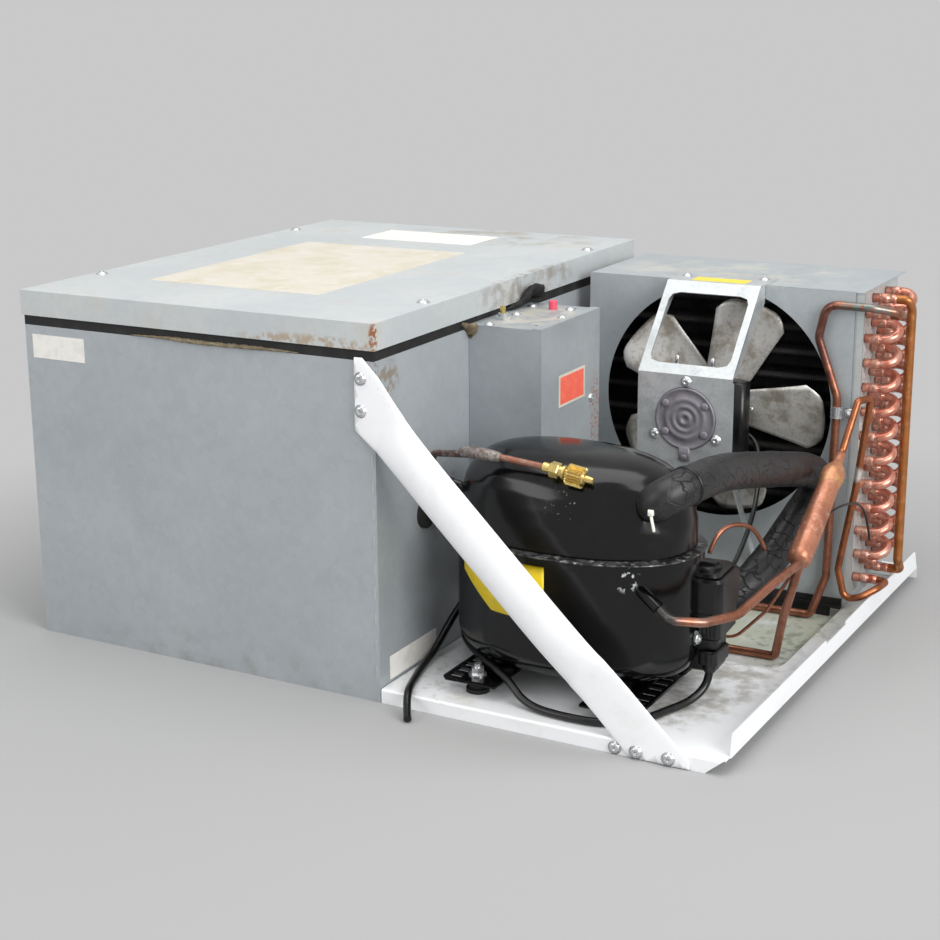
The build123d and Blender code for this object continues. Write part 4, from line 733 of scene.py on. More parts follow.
def square_ring(x0, x1, z0, z1, cx, cz, count):
    """Points on a rectangle where rays from a centre meet it, with the corners kept."""
    points = []
    corners = [atan2(z - cz, x - cx) % (2 * pi) for x in (x0, x1) for z in (z0, z1)]
    for i in range(count):
        a = 2 * pi * i / count
        near = min(corners, key=lambda c: abs((a - c + pi) % (2 * pi) - pi))
        if abs((a - near + pi) % (2 * pi) - pi) < pi / count:
            a = near
        dx, dz = cos(a), sin(a)
        reach = min(((x1 if dx > 0 else x0) - cx) / dx if abs(dx) > 1e-6 else 1e9,
                    ((z1 if dz > 0 else z0) - cz) / dz if abs(dz) > 1e-6 else 1e9)
        points.append((cx + dx * reach, cz + dz * reach))
    return points


def add_shroud():
    """Front plate with the fan's opening, folded over the top and down the far side."""
    bm = bmesh.new()
    count = 96
    outer = square_ring(SHROUD_X0, SHROUD_X1, SHROUD_LOW, SHROUD_TOP, OPENING_X, OPENING_Z, count)
    hole = [(OPENING_X + x, OPENING_Z + z) for x, z in circle(OPENING_R, count)]
    plate_with_hole(bm, outer, hole, Vector((0, SHROUD_Y + SHEET, 0)), RIGHT, UP, SHEET)
    slab(bm, (SHROUD_X0, SHROUD_Y + 0.1, SHROUD_TOP - SHEET), (SHROUD_X1 + 8, SHROUD_BACK, SHROUD_TOP))
    slab(bm, (SHROUD_X0, SHROUD_Y + SHEET, SHROUD_LOW), (SHROUD_X0 + SHEET, SHROUD_BACK, SHROUD_TOP - SHEET))
    slab(bm, (SHROUD_X1 - 1, SHROUD_Y + 0.2, SHROUD_LOW), (SHROUD_X1, SHROUD_Y + 12, SHROUD_TOP - SHEET))
    slab(bm, (SHROUD_X1, SHROUD_Y + 1.2, SHROUD_LOW), (SHROUD_X1 + 9, SHROUD_Y + 2.2, SHROUD_TOP - SHEET))
    piece("shroud_sheet", bm, shroud_sheet, slot="galvanised_steel", replaces=["fan_shroud"], smooth=False)


def add_bracket():
    """Folded sheet: flange on the shroud, windowed slope, motor plate with side flanges and two thin legs."""
    bm = bmesh.new()
    x0, x1, t = BRACKET_X - BRACKET_W / 2, BRACKET_X + BRACKET_W / 2, SHEET_T
    top_y = SHROUD_Y - BRACKET_OUT
    top = Vector((0, top_y, SHROUD_TOP + t))
    fold = Vector((0, BRACKET_Y, FOLD_Z))
    up, length = (top - fold).normalized(), (top - fold).length
    count = 48
    outer = square_ring(x0, x1, 0, length, BRACKET_X, length / 2 - 1, count)
    # the window keeps the count of the outer ring: a rounded rectangle met by the same rays
    window = []
    for x, z in square_ring(-43, 43, -42, 42, 0, 0, count):
        cx, cz = max(abs(x) - 34, 0), max(abs(z) - 33, 0)
        if cx and cz:
            k = 9.0 / hypot(cx, cz)
            x, z = (34 + cx * min(k, 1)) * (1 if x > 0 else -1), (33 + cz * min(k, 1)) * (1 if z > 0 else -1)
        window.append((BRACKET_X + x, length / 2 - 1 + z * min(1.0, (length / 2 - 8) / 42)))
    plate_with_hole(bm, outer, window, fold, RIGHT, up, -t)
    # motor plate, face to the front
    hole_r, faces = 32.6, 48
    outer = square_ring(x0, x1, BRACKET_LOW, FOLD_Z, MOTOR_X, MOTOR_Z, faces)
    hole = [(MOTOR_X + x, MOTOR_Z + z) for x, z in circle(hole_r, faces)]
    plate_with_hole(bm, outer, hole, Vector((0, BRACKET_Y, 0)), RIGHT, UP, -t)
    slab(bm, (x0, top_y, SHROUD_TOP), (x1, SHROUD_Y + 40, SHROUD_TOP + t))
    for x in (x0, x1 - t):
        # side flanges behind the plate and behind the slope, with a relief notch at the fold
        for corners in (
                [(BRACKET_Y + t, BRACKET_LOW), (BRACKET_Y + 12, BRACKET_LOW + 4), (BRACKET_Y + 12, FOLD_Z - 7),
                 (BRACKET_Y + t, FOLD_Z - 4)],
                [(BRACKET_Y + t + 2, FOLD_Z + 4), (BRACKET_Y + 13, FOLD_Z + 2), (SHROUD_Y - 1, SHROUD_TOP - 18),
                 (SHROUD_Y - 1, SHROUD_TOP), (top_y + 1, SHROUD_TOP)],
                [(BRACKET_Y + 2, BRACKET_LOW + 6), (BRACKET_Y + 12, BRACKET_LOW + 8), (SHROUD_Y - 0.3, 58),
                 (SHROUD_Y - 0.3, 44)]):
            skin(bm, [[bm.verts.new((x + dx, y, z)) for y, z in corners] for dx in (0, t)])
    piece("fan_bracket_sheet", bm, bracket_sheet, slot="galvanised_steel", replaces=["motor_bracket"], smooth=False)


def add_motor():
    """Die-cast motor with a stepped face in the plate, four bosses and a tab, and a black cup behind."""
    bm = bmesh.new()
    centre = Vector((MOTOR_X, 0, MOTOR_Z))
    profile = [(32, -3), (32, 1.2), (31.2, 1.8), (30, 1.8), (29.4, 1.2), (22.5, 1.0), (21.8, 2.0), (18.6, 2.4),
               (17.8, 1.8), (14.6, 1.8), (13.8, 2.6), (11.2, 2.6), (10.6, 1.6), (7.4, 1.6), (6.8, 2.8), (3.4, 3.0),
               (2.8, 1.4), (0, 1.2)]
    lathe(bm, centre + Vector((0, BRACKET_Y, 0)), FRONT, profile, 56)
    for angle in (35, 145, 215, 325):
        a = radians(angle)
        spot = centre + Vector((25.5 * cos(a), BRACKET_Y - 0.8, 25.5 * sin(a)))
        lathe(bm, spot, FRONT, [(4.0, 0), (4.0, 2.0), (3.2, 2.6), (0, 2.6)], 14)
    slab(bm, (MOTOR_X - 6, BRACKET_Y - 2.4, MOTOR_Z - 44), (MOTOR_X + 6, BRACKET_Y + 0.5, MOTOR_Z - 29), 3.0)
    slab(bm, (MOTOR_X - 3, BRACKET_Y - 3.6, MOTOR_Z - 42), (MOTOR_X + 3, BRACKET_Y, MOTOR_Z - 37), 1.5)
    piece("motor_face", bm, "motor_grey", replaces=["condenser_fan_motor"])
    bm = bmesh.new()
    lathe(bm, centre + Vector((0, BRACKET_Y + SHEET_T, 0)), BACK,
          [(43, 0), (43, 20), (41, 22), (42, 24), (42, 38), (38, 43), (20, 45), (9, 46), (9, 52), (3.4, 52),
           (0, 52)], 56)
    slab(bm, (120, BRACKET_Y + 5, 186), (226, BRACKET_Y + 26, 262), 5)
    piece("motor_cup", bm, "black_plastic")


BLADES, FIRST_BLADE, HUB_R, TIP_R = 5, -2, 24.0, 116.0      # the first blade's angle is in degrees
BLADE_ROWS, BLADE_COLS, BLADE_T = 16, 14, 1.1
BLADE_DEPTH = 9.5                                          # how far a blade reaches in front and behind


def add_blades():
    """Five pressed blades, twisted and cupped, riveted to a spider hub on the shaft."""
    bm = bmesh.new()
    rows, cols = BLADE_ROWS, BLADE_COLS
    for k in range(BLADES):
        base = radians(FIRST_BLADE + 360 / BLADES * k)
        faces = []
        for side in (-1, 1):
            grid = []
            for i in range(rows + 1):
                v = i / rows
                radius = HUB_R - 6 + (TIP_R - HUB_R + 6) * v
                chord = 40 + 36 * v ** 0.8
                pitch = radians(30 - 13 * v)
                line = []
                for j in range(cols + 1):
                    u = j / cols - 0.5
                    corner = max(abs(u) * 2 - 0.55, 0) / 0.45
                    r = radius - (12 * corner ** 2.2) * v ** 3
                    along, axial = chord * u * cos(pitch), -chord * u * sin(pitch)
                    cup = 4.6 * (1 - (2 * u) ** 2) * (0.25 + 0.75 * v)
                    depth = max(-BLADE_DEPTH, min(BLADE_DEPTH, axial + cup - 1.5))
                    a = base + along / max(r, 20)
                    line.append(bm.verts.new((FAN_X + r * cos(a), SHROUD_Y + 4 + depth + side * BLADE_T / 2,
                                              FAN_Z + r * sin(a))))
                grid.append(line)
            faces.append(grid)
        for grid in faces:
            for i in range(rows):
                for j in range(cols):
                    bm.faces.new((grid[i][j], grid[i + 1][j], grid[i + 1][j + 1], grid[i][j + 1]))
        rim = [[(0, j) for j in range(cols)], [(i, cols) for i in range(rows)],
               [(rows, cols - j) for j in range(cols)], [(rows - i, 0) for i in range(rows)]]
        loop = [spot for edge in rim for spot in edge]
        for (a, b), (c, d) in zip(loop, loop[1:] + loop[:1]):
            bm.faces.new((faces[0][a][b], faces[0][c][d], faces[1][c][d], faces[1][a][b]))
    piece("fan_blades", bm, "aluminium_blade", "condenser_fan", replaces=["condenser_fan_blade"])
    bm = bmesh.new()
    hub = Vector((FAN_X, SHROUD_Y + 8, FAN_Z))
    lathe(bm, hub, FRONT, [(26, 0), (26, 2), (24, 3), (13, 3.4), (10, 6), (9, 22), (3.4, 23), (3.2, 40), (0, 40)],
          40)
    for k in range(BLADES):
        for reach, side in ((30, -7), (30, 7), (38, 0)):
            a = radians(FIRST_BLADE + 360 / BLADES * k)
            x, z = reach * cos(a) - side * sin(a), reach * sin(a) + side * cos(a)
            lathe(bm, (FAN_X + x, SHROUD_Y + 6, FAN_Z + z), FRONT, [(3, 0), (3, 3.4), (2, 4.6), (0, 4.8)], 12)
    piece("fan_hub", bm, "zinc_screw", "condenser_fan")


add_shroud()
add_bracket()
add_motor()
add_blades()


# ---------------------------------------------------------------- screws
def pan_head(radius, height):
    """Pan head with a washer face and a sunk middle."""
    bm = bmesh.new()
    lathe(bm, (0, 0, 0), UP, [(radius * 1.25, 0), (radius * 1.25, 0.5), (radius, 0.6), (radius, height * 0.5),
                                     (radius * 0.86, height * 0.85), (radius * 0.5, height), (radius * 0.34, height),
                                     (radius * 0.22, height * 0.45), (0, height * 0.4)], 20)
    return bm


def hex_head(radius, height):
    bm = bmesh.new()
    lathe(bm, (0, 0, 0), UP, [(radius * 1.35, 0), (radius * 1.35, 0.9), (radius, 1.0)], 20)
    prism(bm, (0, 0, 0.9), UP, RIGHT, circle(radius, 6), [(0, 1), (height - 0.7, 1), (height, 0.86)])
    lathe(bm, (0, 0, height - 0.6), UP, [(radius * 0.45, 0), (radius * 0.45, 2.4), (radius * 0.3, 3.0)], 14)
    return bm


def add_screws():
    zinc = MATERIALS["zinc_screw"]
    lid_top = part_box("case_lid")[1].z / MM
    lid_spots = [((x, y, lid_top), UP) for x in (-400, -12) for y in (110, 472)]
    motor = [((MOTOR_X + 38 * sin(radians(a)), BRACKET_Y, MOTOR_Z + 38 * cos(radians(a))), FRONT)
             for a in (0, 120, 240)]
    flange = [((x, y, SHROUD_TOP + SHEET_T), UP) for x, y in ((124.3, 428), (205.3, 438))]
    groups = (
        ("lid_pan_heads", pan_head(5.2, 2.6), lid_spots, ["lid_screws"]),
        ("motor_pan_heads", pan_head(4.6, 3.0), motor, ["motor_screws"]),
        ("flange_pan_heads", pan_head(4.4, 2.6), flange, ["bracket_screws"]),
        ("brace_pan_heads", pan_head(5.0, 2.8),
         [(spot, FRONT) for spot in ((-13, -2.5, 310), (-13, -2.5, 280), (260, -2.5, 7), (290, -2.5, 7), (239, 0, 6))],
         ["brace_screws"]),
        ("control_box_pan_heads", pan_head(4.2, 2.4),
         [((x, y, 330), UP) for x, y in ((20, 182), (19, 241), (13, 288), (68, 244), (56, 287))]
         + [((79, 288, 242), RIGHT)], ["control_box_screws"]))
    for i, (name, head, places, replaced) in enumerate(groups):
        piece(name, on_places(head, places, zinc, 11 + i), "zinc_screw", replaces=replaced)
    # studs with nuts and washers on the motor plate, seen through the bracket's window
    bm = bmesh.new()
    lathe(bm, (0, 0, 0), UP, [(7, 0), (7, 1.4), (4.8, 1.4)], 20)
    prism(bm, (0, 0, 1.4), UP, RIGHT, circle(5.4, 6), [(0, 1), (4.4, 1), (5, 0.88)])
    lathe(bm, (0, 0, 5), UP, [(2.4, 0), (2.4, 11), (1.6, 12)], 12)
    studs = [((x, 352, 263), UP) for x in (146, 184)]
    piece("motor_studs", on_places(bm, studs, zinc, 5), "zinc_screw")
    bm = bmesh.new()
    slab(bm, (130, 338, 260), (200, 366, 263), 2)
    piece("stud_bar", bm, "zinc_screw")


add_screws()


# ---------------------------------------------------------------- compressor
COMP_X, COMP_Y, SEAM_Z, COMP_TOP = 152.0, 105.0, 158.0, 243.0
COMP_A, COMP_B, LOWER_OUT = 113.0, 73.0, 5.0


def oval(bm, half_x, half_y, z, lean=0.0, dents=()):
    """One ring of a shell, a little squarer than an ellipse, with dents pressed in at given places."""
    points = []
    for c, d in squarish(96, 2.25):
        spot = Vector((COMP_X - lean + half_x * c, COMP_Y + half_y * d, z))
        for centre, reach, depth in dents:
            near = 1 - (spot - Vector(centre)).length / reach
            if near > 0:
                inward = Vector((COMP_X - spot.x, COMP_Y - spot.y, 0)).normalized()
                spot += inward * depth * near * near * (3 - 2 * near)
        points.append(bm.verts.new(spot))
    return points


def add_upper_shell():
    """Drawn dome: upright skirt, full shoulder and a small flat top, dented beside the suction stub."""
    heights = [0, 0.1, 0.3, 0.46, 0.62, 0.73, 0.83, 0.9, 0.95, 0.985, 1.0]
    along = [1, 1, 0.995, 0.978, 0.945, 0.89, 0.81, 0.71, 0.6, 0.46, 0.34]
    across = [1, 1, 0.99, 0.965, 0.92, 0.85, 0.76, 0.645, 0.52, 0.39, 0.28]
    lean = [0, 0, 0, 1, 2, 3.5, 5, 6.5, 8, 9, 10]
    dents = [((216, 40, 212), 34, 5.0), ((120, 36, 205), 40, 2.5), ((256, 78, 196), 26, 3.5), ((70, 70, 214), 30, 2.5)]
    fine = np.linspace(0, 1, 41) ** 0.8
    fine[-1] = 1.0
    bm = bmesh.new()
    rings = [oval(bm, COMP_A * np.interp(f, heights, along), COMP_B * np.interp(f, heights, across),
                  SEAM_Z + (COMP_TOP - SEAM_Z) * f, np.interp(f, heights, lean), dents=dents) for f in fine]
    skin(bm, rings)
    bmesh.ops.smooth_vert(bm, verts=[v for v in bm.verts if v.co.z > SEAM_Z + 1], factor=0.5, use_axis_x=True,
                          use_axis_y=True, use_axis_z=True)
    for foot, toward, radius in (((232, 82, 200), (255, 52, 218), 9.5), ((52, 84, 192), (40, 75, 199), 5.4)):
        direction = Vector(toward) - Vector(foot)
        lathe(bm, foot, direction, [(radius + 2, 0), (radius + 1, 6), (radius, 12), (radius, 24)], 20)
    piece("shell_dome", bm, shell_paint, slot="black_shell", replaces=["compressor_upper_shell"])
    bm = bmesh.new()
    lip = [oval(bm, COMP_A + out, COMP_B + out, SEAM_Z + up)
           for out, up in ((6.4, -0.8), (8.1, -0.2), (8.3, 0.6), (7.2, 1.2), (3.0, 1.4), (0.2, 2.4), (-1.0, 2.6),
                           (-1, -0.8))]
    lip.append(lip[0])
    skin(bm, lip, False, False)
    piece("weld_seam", bm, weld_steel, slot="black_shell")


def add_label():
    """Yellow film label wrapped on the lower shell, one corner cut, with a plain cyan stripe."""
    for name, material, x0, x1, low_z, high_z, cut, proud in (
            ("shell_label", MATERIALS["label_yellow"], 60, 156, 98, 150, 28, 0.35),
            ("shell_label_stripe", cyan_film, 61, 106, 134, 140, 0, 0.9)):
        bm, columns = bmesh.new(), []
        for i in range(41):
            x = x0 + (x1 - x0) * i / 40
            bottom = low_z + max(0.0, cut - 0.72 * (x - x0))
            drop = (1 - (abs(x - COMP_X) / (COMP_A + LOWER_OUT)) ** 2) ** 0.5 * (COMP_B + LOWER_OUT)
            columns.append([bm.verts.new((x, COMP_Y - drop - out, z)) for out, z in (
                (proud, bottom), (proud, high_z), (-0.4, high_z), (-0.4, bottom))])
        skin(bm, columns)
        piece(name, bm, material, slot="label_yellow", replaces=["compressor_label"] if name == "shell_label" else [])


def add_feet():
    """Two strips under the shell with a ladder of slots along their outer edges, and ribs up to the shell."""
    bm = bmesh.new()
    for x, toward in ((82.0, 1), (222.0, -1)):
        inner, edge, rail = x + toward * 28, x - toward * 28, x - toward * 24.5
        slot_in = x - toward * 11.5
        z0, z1 = 27.0, 30.0
        slab(bm, (min(inner, slot_in), 20, z0), (max(inner, slot_in), 186, z1), 2)
        slab(bm, (min(edge, rail), 24, z0), (max(edge, rail), 130, z1), 1)
        for i in range(8):
            y = 24 + 14 * i
            slab(bm, (min(slot_in, rail) - 0.2, y - 3.4, z0), (max(slot_in, rail) + 0.2, y + 3.4, z1), 1)
        slab(bm, (min(slot_in, edge), 131, z0), (max(slot_in, edge), 182, z1), 4)
        slab(bm, (x + toward * 12 - 12, COMP_Y - 34, z1 - 0.2), (x + toward * 12 + 12, COMP_Y + 34, 44), 3)
    piece("shell_feet", bm, "black_shell", replaces=["compressor_base"], smooth=False)


COVER_CORNER, COVER_TURN = (242, 108, 0), radians(4)


def add_terminal_cover():
    """Moulded cover on the shell's end with a skirt line, side flange and top knob, and the relay below.

    All but the lead's boss is built from the cover's own corner, then turned and put in place.
    """
    bm = bmesh.new()
    slab(bm, (0, 0, 74), (48, 58, 130), 7)
    slab(bm, (-1.5, -1.5, 98), (50, 59, 132), 8)
    slab(bm, (4, 3, 131), (45, 55, 135.5), 7)
    lathe(bm, (25, 27, 135), UP, [(15, 0), (15, 2.5), (13.5, 4), (11, 4), (10, 2.8), (4, 2.8), (3.4, 5), (0, 5.2)])
    slab(bm, (12, 23, 137), (38, 32, 141), 3)
    slab(bm, (8, 2, 134), (24, 14, 139), 4)
    slab(bm, (-14, 4, 79), (3, 14, 125), 4)
    slab(bm, (6, -3, 74), (16, 2, 90), 2)
    for x in (22, 29, 36, 43):
        slab(bm, (x, -1.6, 78), (x + 3, 0.5, 96), 1)
    slab(bm, (14, 6, 42), (44, 42, 77), 7)
    bmesh.ops.rotate(bm, cent=(0, 0, 0), matrix=Matrix.Rotation(COVER_TURN, 3, "Z"), verts=bm.verts)
    bmesh.ops.translate(bm, vec=COVER_CORNER, verts=bm.verts)
    slab(bm, (270, 110, 50), (288, 145, 64), 4)
    lathe(bm, (280, 116, 44), UP, [(5.4, 0), (6.4, 3), (6.4, 18), (5, 20)], 20)
    piece("terminal_box", bm, "black_plastic", replaces=["terminal_cover", "start_relay", "cable_clamp"], smooth=False)


FOAM_R, SUCTION_R = 17.2, 6.35


def add_suction_line():
    """Crazed foam on the suction line, with the tube inside and a nylon tie at its foot."""
    route = [(232, 84, 200), (243, 66, 208), (255, 52, 219), (268, 70, 227), (275, 100, 229), (277, 145, 224),
             (276, 205, 211), (284, 300, 190), (291, 362, 174), (291, 378, 152), (284, 340, 130), (272, 280, 94),
             (256, 245, 70), (225, 230, 60), (60, 230, 60), (-24, 230, 60)]
    line = smooth_line(route)
    bm = bmesh.new()
    tube(bm, line, SUCTION_R, 16)
    piece("suction_line_tube", bm, line_copper, slot="copper", replaces=["suction_tube"])
    total, dense, run = length_of(line), [], 0.0
    for a, b in zip(line, line[1:]):
        count = max(1, round((b - a).length / 1.6))
        for i in range(count):
            point = a.lerp(b, i / count)
            share = (run + (b - a).length * i / count) / total
            if 0.028 < share < 0.965:
                dense.append(point)
        run += (b - a).length
    bm = bmesh.new()

    def skin_of(share, i):
        points = []
        taper = min(1.0, 0.8 + 0.2 * min(i, len(dense) - 1 - i) / 5)
        for c, d in circle(1.0, 56):
            swell = noise.noise((dense[i] * 0.055 + Vector((c, d, share * 3)) * 0.9) * 0.9) * 0.5
            radius = (FOAM_R + swell) * taper
            points.append((radius * c, radius * d))
        return points

    sweep(bm, dense, skin_of)
    piece("suction_foam", bm, "pipe_foam", replaces=["suction_insulation"])
    bm = bmesh.new()
    spot = next(i for i, point in enumerate(dense) if point.y > 76 and i > 12)
    ahead = (dense[spot + 1] - dense[spot]).normalized()
    lathe(bm, dense[spot] - ahead * 1.6, ahead, [(17.0, 0), (18.3, 0.2), (18.3, 3.0), (17.0, 3.2)], 40)
    piece("foam_tie", bm, "black_plastic")
    bm = bmesh.new()
    prism(bm, (251.5, 38.5, 212), (0.3, -0.15, -1), (1, 0, 0), rounded(2.6, 1.2, 0.5), [(0, 1), (17, 1), (18, 0.6)])
    slab(bm, (249.5, 37, 208), (254.5, 41, 213.5), 1)
    piece("tie_tail", bm, "nylon_white", replaces=["cable_tie"])


add_upper_shell()
add_label()
add_feet()
add_terminal_cover()
add_suction_line()


# ---------------------------------------------------------------- brace
BRACE_CORNER, BRACE_LEAN = (-19.5, 0.0, 329.0), radians(44.4)
# distance along the tube, its width, how far its middle lies below the upper edge, its depth
BRACE_STATIONS = [(-30, 56, 24.5, 2.4), (0, 56, 22, 2.4), (30, 55, 22, 2.4), (54, 50, 23, 3.4), (72, 45.5, 22, 7),
                  (92, 43.5, 21, 12.5), (118, 42, 20, 17), (140, 42, 20, 18), (280, 42, 20, 18), (304, 42, 20, 17),
                  (326, 42, 20.5, 13), (346, 42.5, 21, 7.5), (362, 43, 21.5, 3.4), (380, 43.5, 21.5, 2.4),
                  (500, 45, 22, 2.4)]


def add_brace():
    """Tube crushed flat at both ends, trimmed to the case's corner and the pan's edge."""
    c, s = cos(BRACE_LEAN), sin(BRACE_LEAN)
    along, down = Vector((c, 0, -s)), Vector((-s, 0, -c))
    bm = bmesh.new()
    rings = []
    distances = sorted({d for d, *_ in BRACE_STATIONS} | set(range(-20, 480, 8)))
    for distance in distances:
        width, below, depth = (float(np.interp(distance, [r[0] for r in BRACE_STATIONS],
                                               [r[k] for r in BRACE_STATIONS])) for k in (1, 2, 3))
        middle = Vector(BRACE_CORNER) + along * distance + down * below - Vector((0, depth / 2, 0))
        # a crushed tube: round edges, flat back, crowned front
        outline = [(width / 2 * x, depth / 2 * y) for x, y in squarish(48, 2.0 if depth > 8 else 3.2)]
        rings.append(ring(bm, middle, down, FRONT, outline))
    skin(bm, rings)
    bmesh.ops.recalc_face_normals(bm, faces=bm.faces)
    for spot, normal in (((BRACE_CORNER[0], 0, 0), (-1, 0, 0)), ((309, 0, 0), (1, 0, 0)), ((0, 0, 1), (0, 0, -1)),
                         ((0, 0, 329), (0, 0, 1))):
        cut = bmesh.ops.bisect_plane(bm, geom=bm.verts[:] + bm.edges[:] + bm.faces[:], plane_co=spot,
                                     plane_no=normal, clear_outer=True)
        edges = [e for e in cut["geom_cut"] if isinstance(e, bmesh.types.BMEdge)]
        bmesh.ops.edgeloop_fill(bm, edges=edges)
    piece("brace", bm, brace_enamel, slot="white_enamel", replaces=["brace_tube"])
    # the open hole beside the screws: a dark sunk disc with a rolled rim, painted shade for the dark inside of the
    # hole, in the black plastic finish
    bm = bmesh.new()
    lathe(bm, (8.5, -2.3, 292), FRONT, [(4.6, 0), (4.6, 0.3), (3.9, 0.35), (3.6, 0.05), (0, 0.05)], 24)
    piece("brace_hole", bm, "black_plastic")


add_brace()


# ---------------------------------------------------------------- drier, valve and clips
def add_drier_and_valve():
    low, high = Vector((320, 233, 120)), Vector((320, 343, 190))
    bm = bmesh.new()
    lathe(bm, low, high - low, [(2.0, -8), (2.6, -2), (8, -1), (11.0, 2), (11.7, 8), (11.5, 40), (10.8, 80),
                                (10.2, 98), (11.2, 104), (12.0, 110), (11.4, 117), (8.5, 123), (5.6, 128),
                                (4.8, 132), (4.6, 141), (3.8, 143)], 40)
    piece("drier_shell", bm, drier_copper, slot="copper", replaces=["filter_drier"])
    # access valve: hexagon, necked body and a knurled cap with a pin
    foot, aim = Vector((153, 45, 236.2)), Vector((38, 0, -5.7)).normalized()
    bm = bmesh.new()
    lathe(bm, foot, aim, [(3.8, -7), (4.4, -6), (4.4, 0), (4.0, 1)], 24)
    prism(bm, foot + aim * 0.5, aim, (0, 1, 0), circle(7.4, 6), [(0, 0.9), (0.8, 1), (8.2, 1), (9, 0.9)])
    lathe(bm, foot, aim, [(4.6, 9), (5.2, 10), (4.6, 12), (6.4, 13), (6.4, 15), (4.4, 16), (4.4, 18)], 24)
    for i in range(24):
        out = Matrix.Rotation(2 * pi * i / 24, 4, aim) @ aim.orthogonal()
        prism(bm, foot + aim * 18 + out * 6.3, aim, out, [(-0.9, -0.5), (0.7, 0), (-0.9, 0.5)], [(0, 1), (15, 1)])
    lathe(bm, foot, aim, [(5.4, 17.6), (6.4, 18), (6.4, 33), (5.6, 34.5), (3.4, 35), (3.2, 38), (2.6, 42),
                          (0, 42.4)], 24)
    piece("access_valve", bm, "brass", replaces=["service_valve"], smooth=False)
    # greyish brazed sleeve on the process tube
    bm = bmesh.new()
    line = smooth_line(((62, 45, 240.4), (74, 45, 241.4), (88, 45, 241.2), (104, 45, 240.2)), 8)
    tube(bm, line, lambda share: 3.4 + 2.4 * sin(pi * share) ** 0.5 + 0.5 * noise.noise(Vector((share * 9, 0, 0))), 18)
    piece("brazed_sleeve", bm, sooted_braze, slot="copper")
    # clip of the riser with its ear and screw
    bm = bmesh.new()
    rings = [ring(bm, Vector((297, 406, z)), RIGHT, BACK, circle(radius, 32))
             for radius, z in ((6.2, 219), (6.2, 231), (4.836, 231), (4.836, 219))]
    skin(bm, rings + rings[:1], False, False)
    slab(bm, (302.5, 405, 219.5), (317, 406.2, 230.5), 0)
    piece("riser_clip", bm, "zinc_screw", replaces=["tube_clamp"], smooth=False)
    for name, radius, height, place, seed, replaced in (
            ("clip_screw", 3.6, 3.4, ((311, 405, 225), FRONT), 21, []),
            ("ground_hex_screw", 5.2, 4.2, ((269.4, 104, 78), (1, -0.25, 0)), 22, ["ground_screw"])):
        heads = on_places(hex_head(radius, height), [place], MATERIALS["zinc_screw"], seed)
        piece(name, heads, "zinc_screw", replaces=replaced)


add_drier_and_valve()


# ---------------------------------------------------------------- plates, torn foam and seam
def add_plates():
    """Bare film plates and labels, each a thin sheet just proud of the metal."""
    lid_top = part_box("case_lid")[1].z / MM
    rows = (
        ("lid_cream_plate", cream_film, (-330, 100, lid_top), (-124, 395, lid_top + 0.3)),
        ("lid_white_plate", white_film, (-292, 448, lid_top), (-147, 518, lid_top + 0.3)),
        ("front_white_label", white_film, (-401, -0.35, 293), (-335, 0, 317)),
        ("wall_white_label", white_film, (0, 18, 17), (0.35, 105, 40)),
        ("box_label_border", cream_film, (79, 214, 246.5), (79.3, 273, 278.5)),
        ("box_red_label", red_film, (79.2, 217, 249), (79.5, 270, 276)),
        ("bracket_yellow_label", MATERIALS["label_yellow"], (138, 405, 348.5), (196, 425, 348.8)))
    for name, material, low, high in rows:
        bm = bmesh.new()
        slab(bm, low, high)
        piece(name, bm, material, slot="label_yellow" if "yellow" in name else "nylon_white", smooth=False)


def torn(bm, points, radius, seed, flat=0.5):
    """Ragged strip along some points, swelling and thinning as torn foam does."""
    rng = np.random.default_rng(seed)
    line = smooth_line(points, 16)
    jitter = rng.uniform(0.45, 1.0, size=(len(line), 10))
    ends = [min(1.0, 0.25 + 3 * min(i, len(line) - 1 - i) / len(line)) for i in range(len(line))]
    sweep(bm, line, lambda share, i: [(radius * ends[i] * jitter[i][k] * cos(2 * pi * k / 10),
                                       radius * ends[i] * flat * jitter[i][k] * sin(2 * pi * k / 10))
                                      for k in range(10)])


def add_torn_foam():
    bm = bmesh.new()
    torn(bm, [(-275, -0.5, 327), (-230, -1.2, 328), (-180, -0.8, 326.5), (-120, -1.2, 328), (-80, -0.6, 327)], 3.0, 3)
    torn(bm, [(1, 160, 333), (5, 172, 328), (7, 181, 318), (4, 188, 304), (1, 190, 296)], 9.0, 5, 0.4)
    torn(bm, [(2, 166, 330), (8, 178, 326), (6, 190, 322)], 7.0, 6, 0.5)
    piece("torn_brown_foam", bm, brown_foam, slot="insulation_foam")
    bm = bmesh.new()
    torn(bm, [(3, 268, 331), (9, 282, 340), (7, 296, 346), (10, 312, 341), (4, 330, 334)], 10.0, 8, 0.5)
    torn(bm, [(2, 250, 332), (6, 268, 334), (3, 290, 333)], 6.0, 9, 0.5)
    piece("torn_dark_foam", bm, "black_rubber")


def add_seam():
    """Lanced tabs up the corner seam of the case."""
    bm = bmesh.new()
    slab(bm, (-4.4, -0.5, 26), (-2.2, 0, 37), 0.4)
    piece("seam_tabs", in_row(bm, 9, (0, 0, TUBE_PITCH), end_sheet), end_sheet, slot="galvanised_steel", smooth=False)


def add_wire():
    """Thin dark wire from the drier across to the coil's foot, and a copper loop over the terminal cover."""
    bm = bmesh.new()
    tube(bm, smooth_line(((319, 262, 138), (326, 300, 152), (333, 350, 150), (337, 380, 138), (338, 398, 110),
                          (338, 404, 96)), 8), 1.2, 10)
    piece("bulb_wire", bm, "black_plastic")
    bm = bmesh.new()
    tube(bm, smooth_line(((246, 196, 128), (249, 200, 142), (256, 214, 152), (268, 232, 150), (276, 246, 138),
                          (280, 254, 120)), 8), 2.2, 12)
    piece("copper_loop", bm, line_copper, slot="copper")


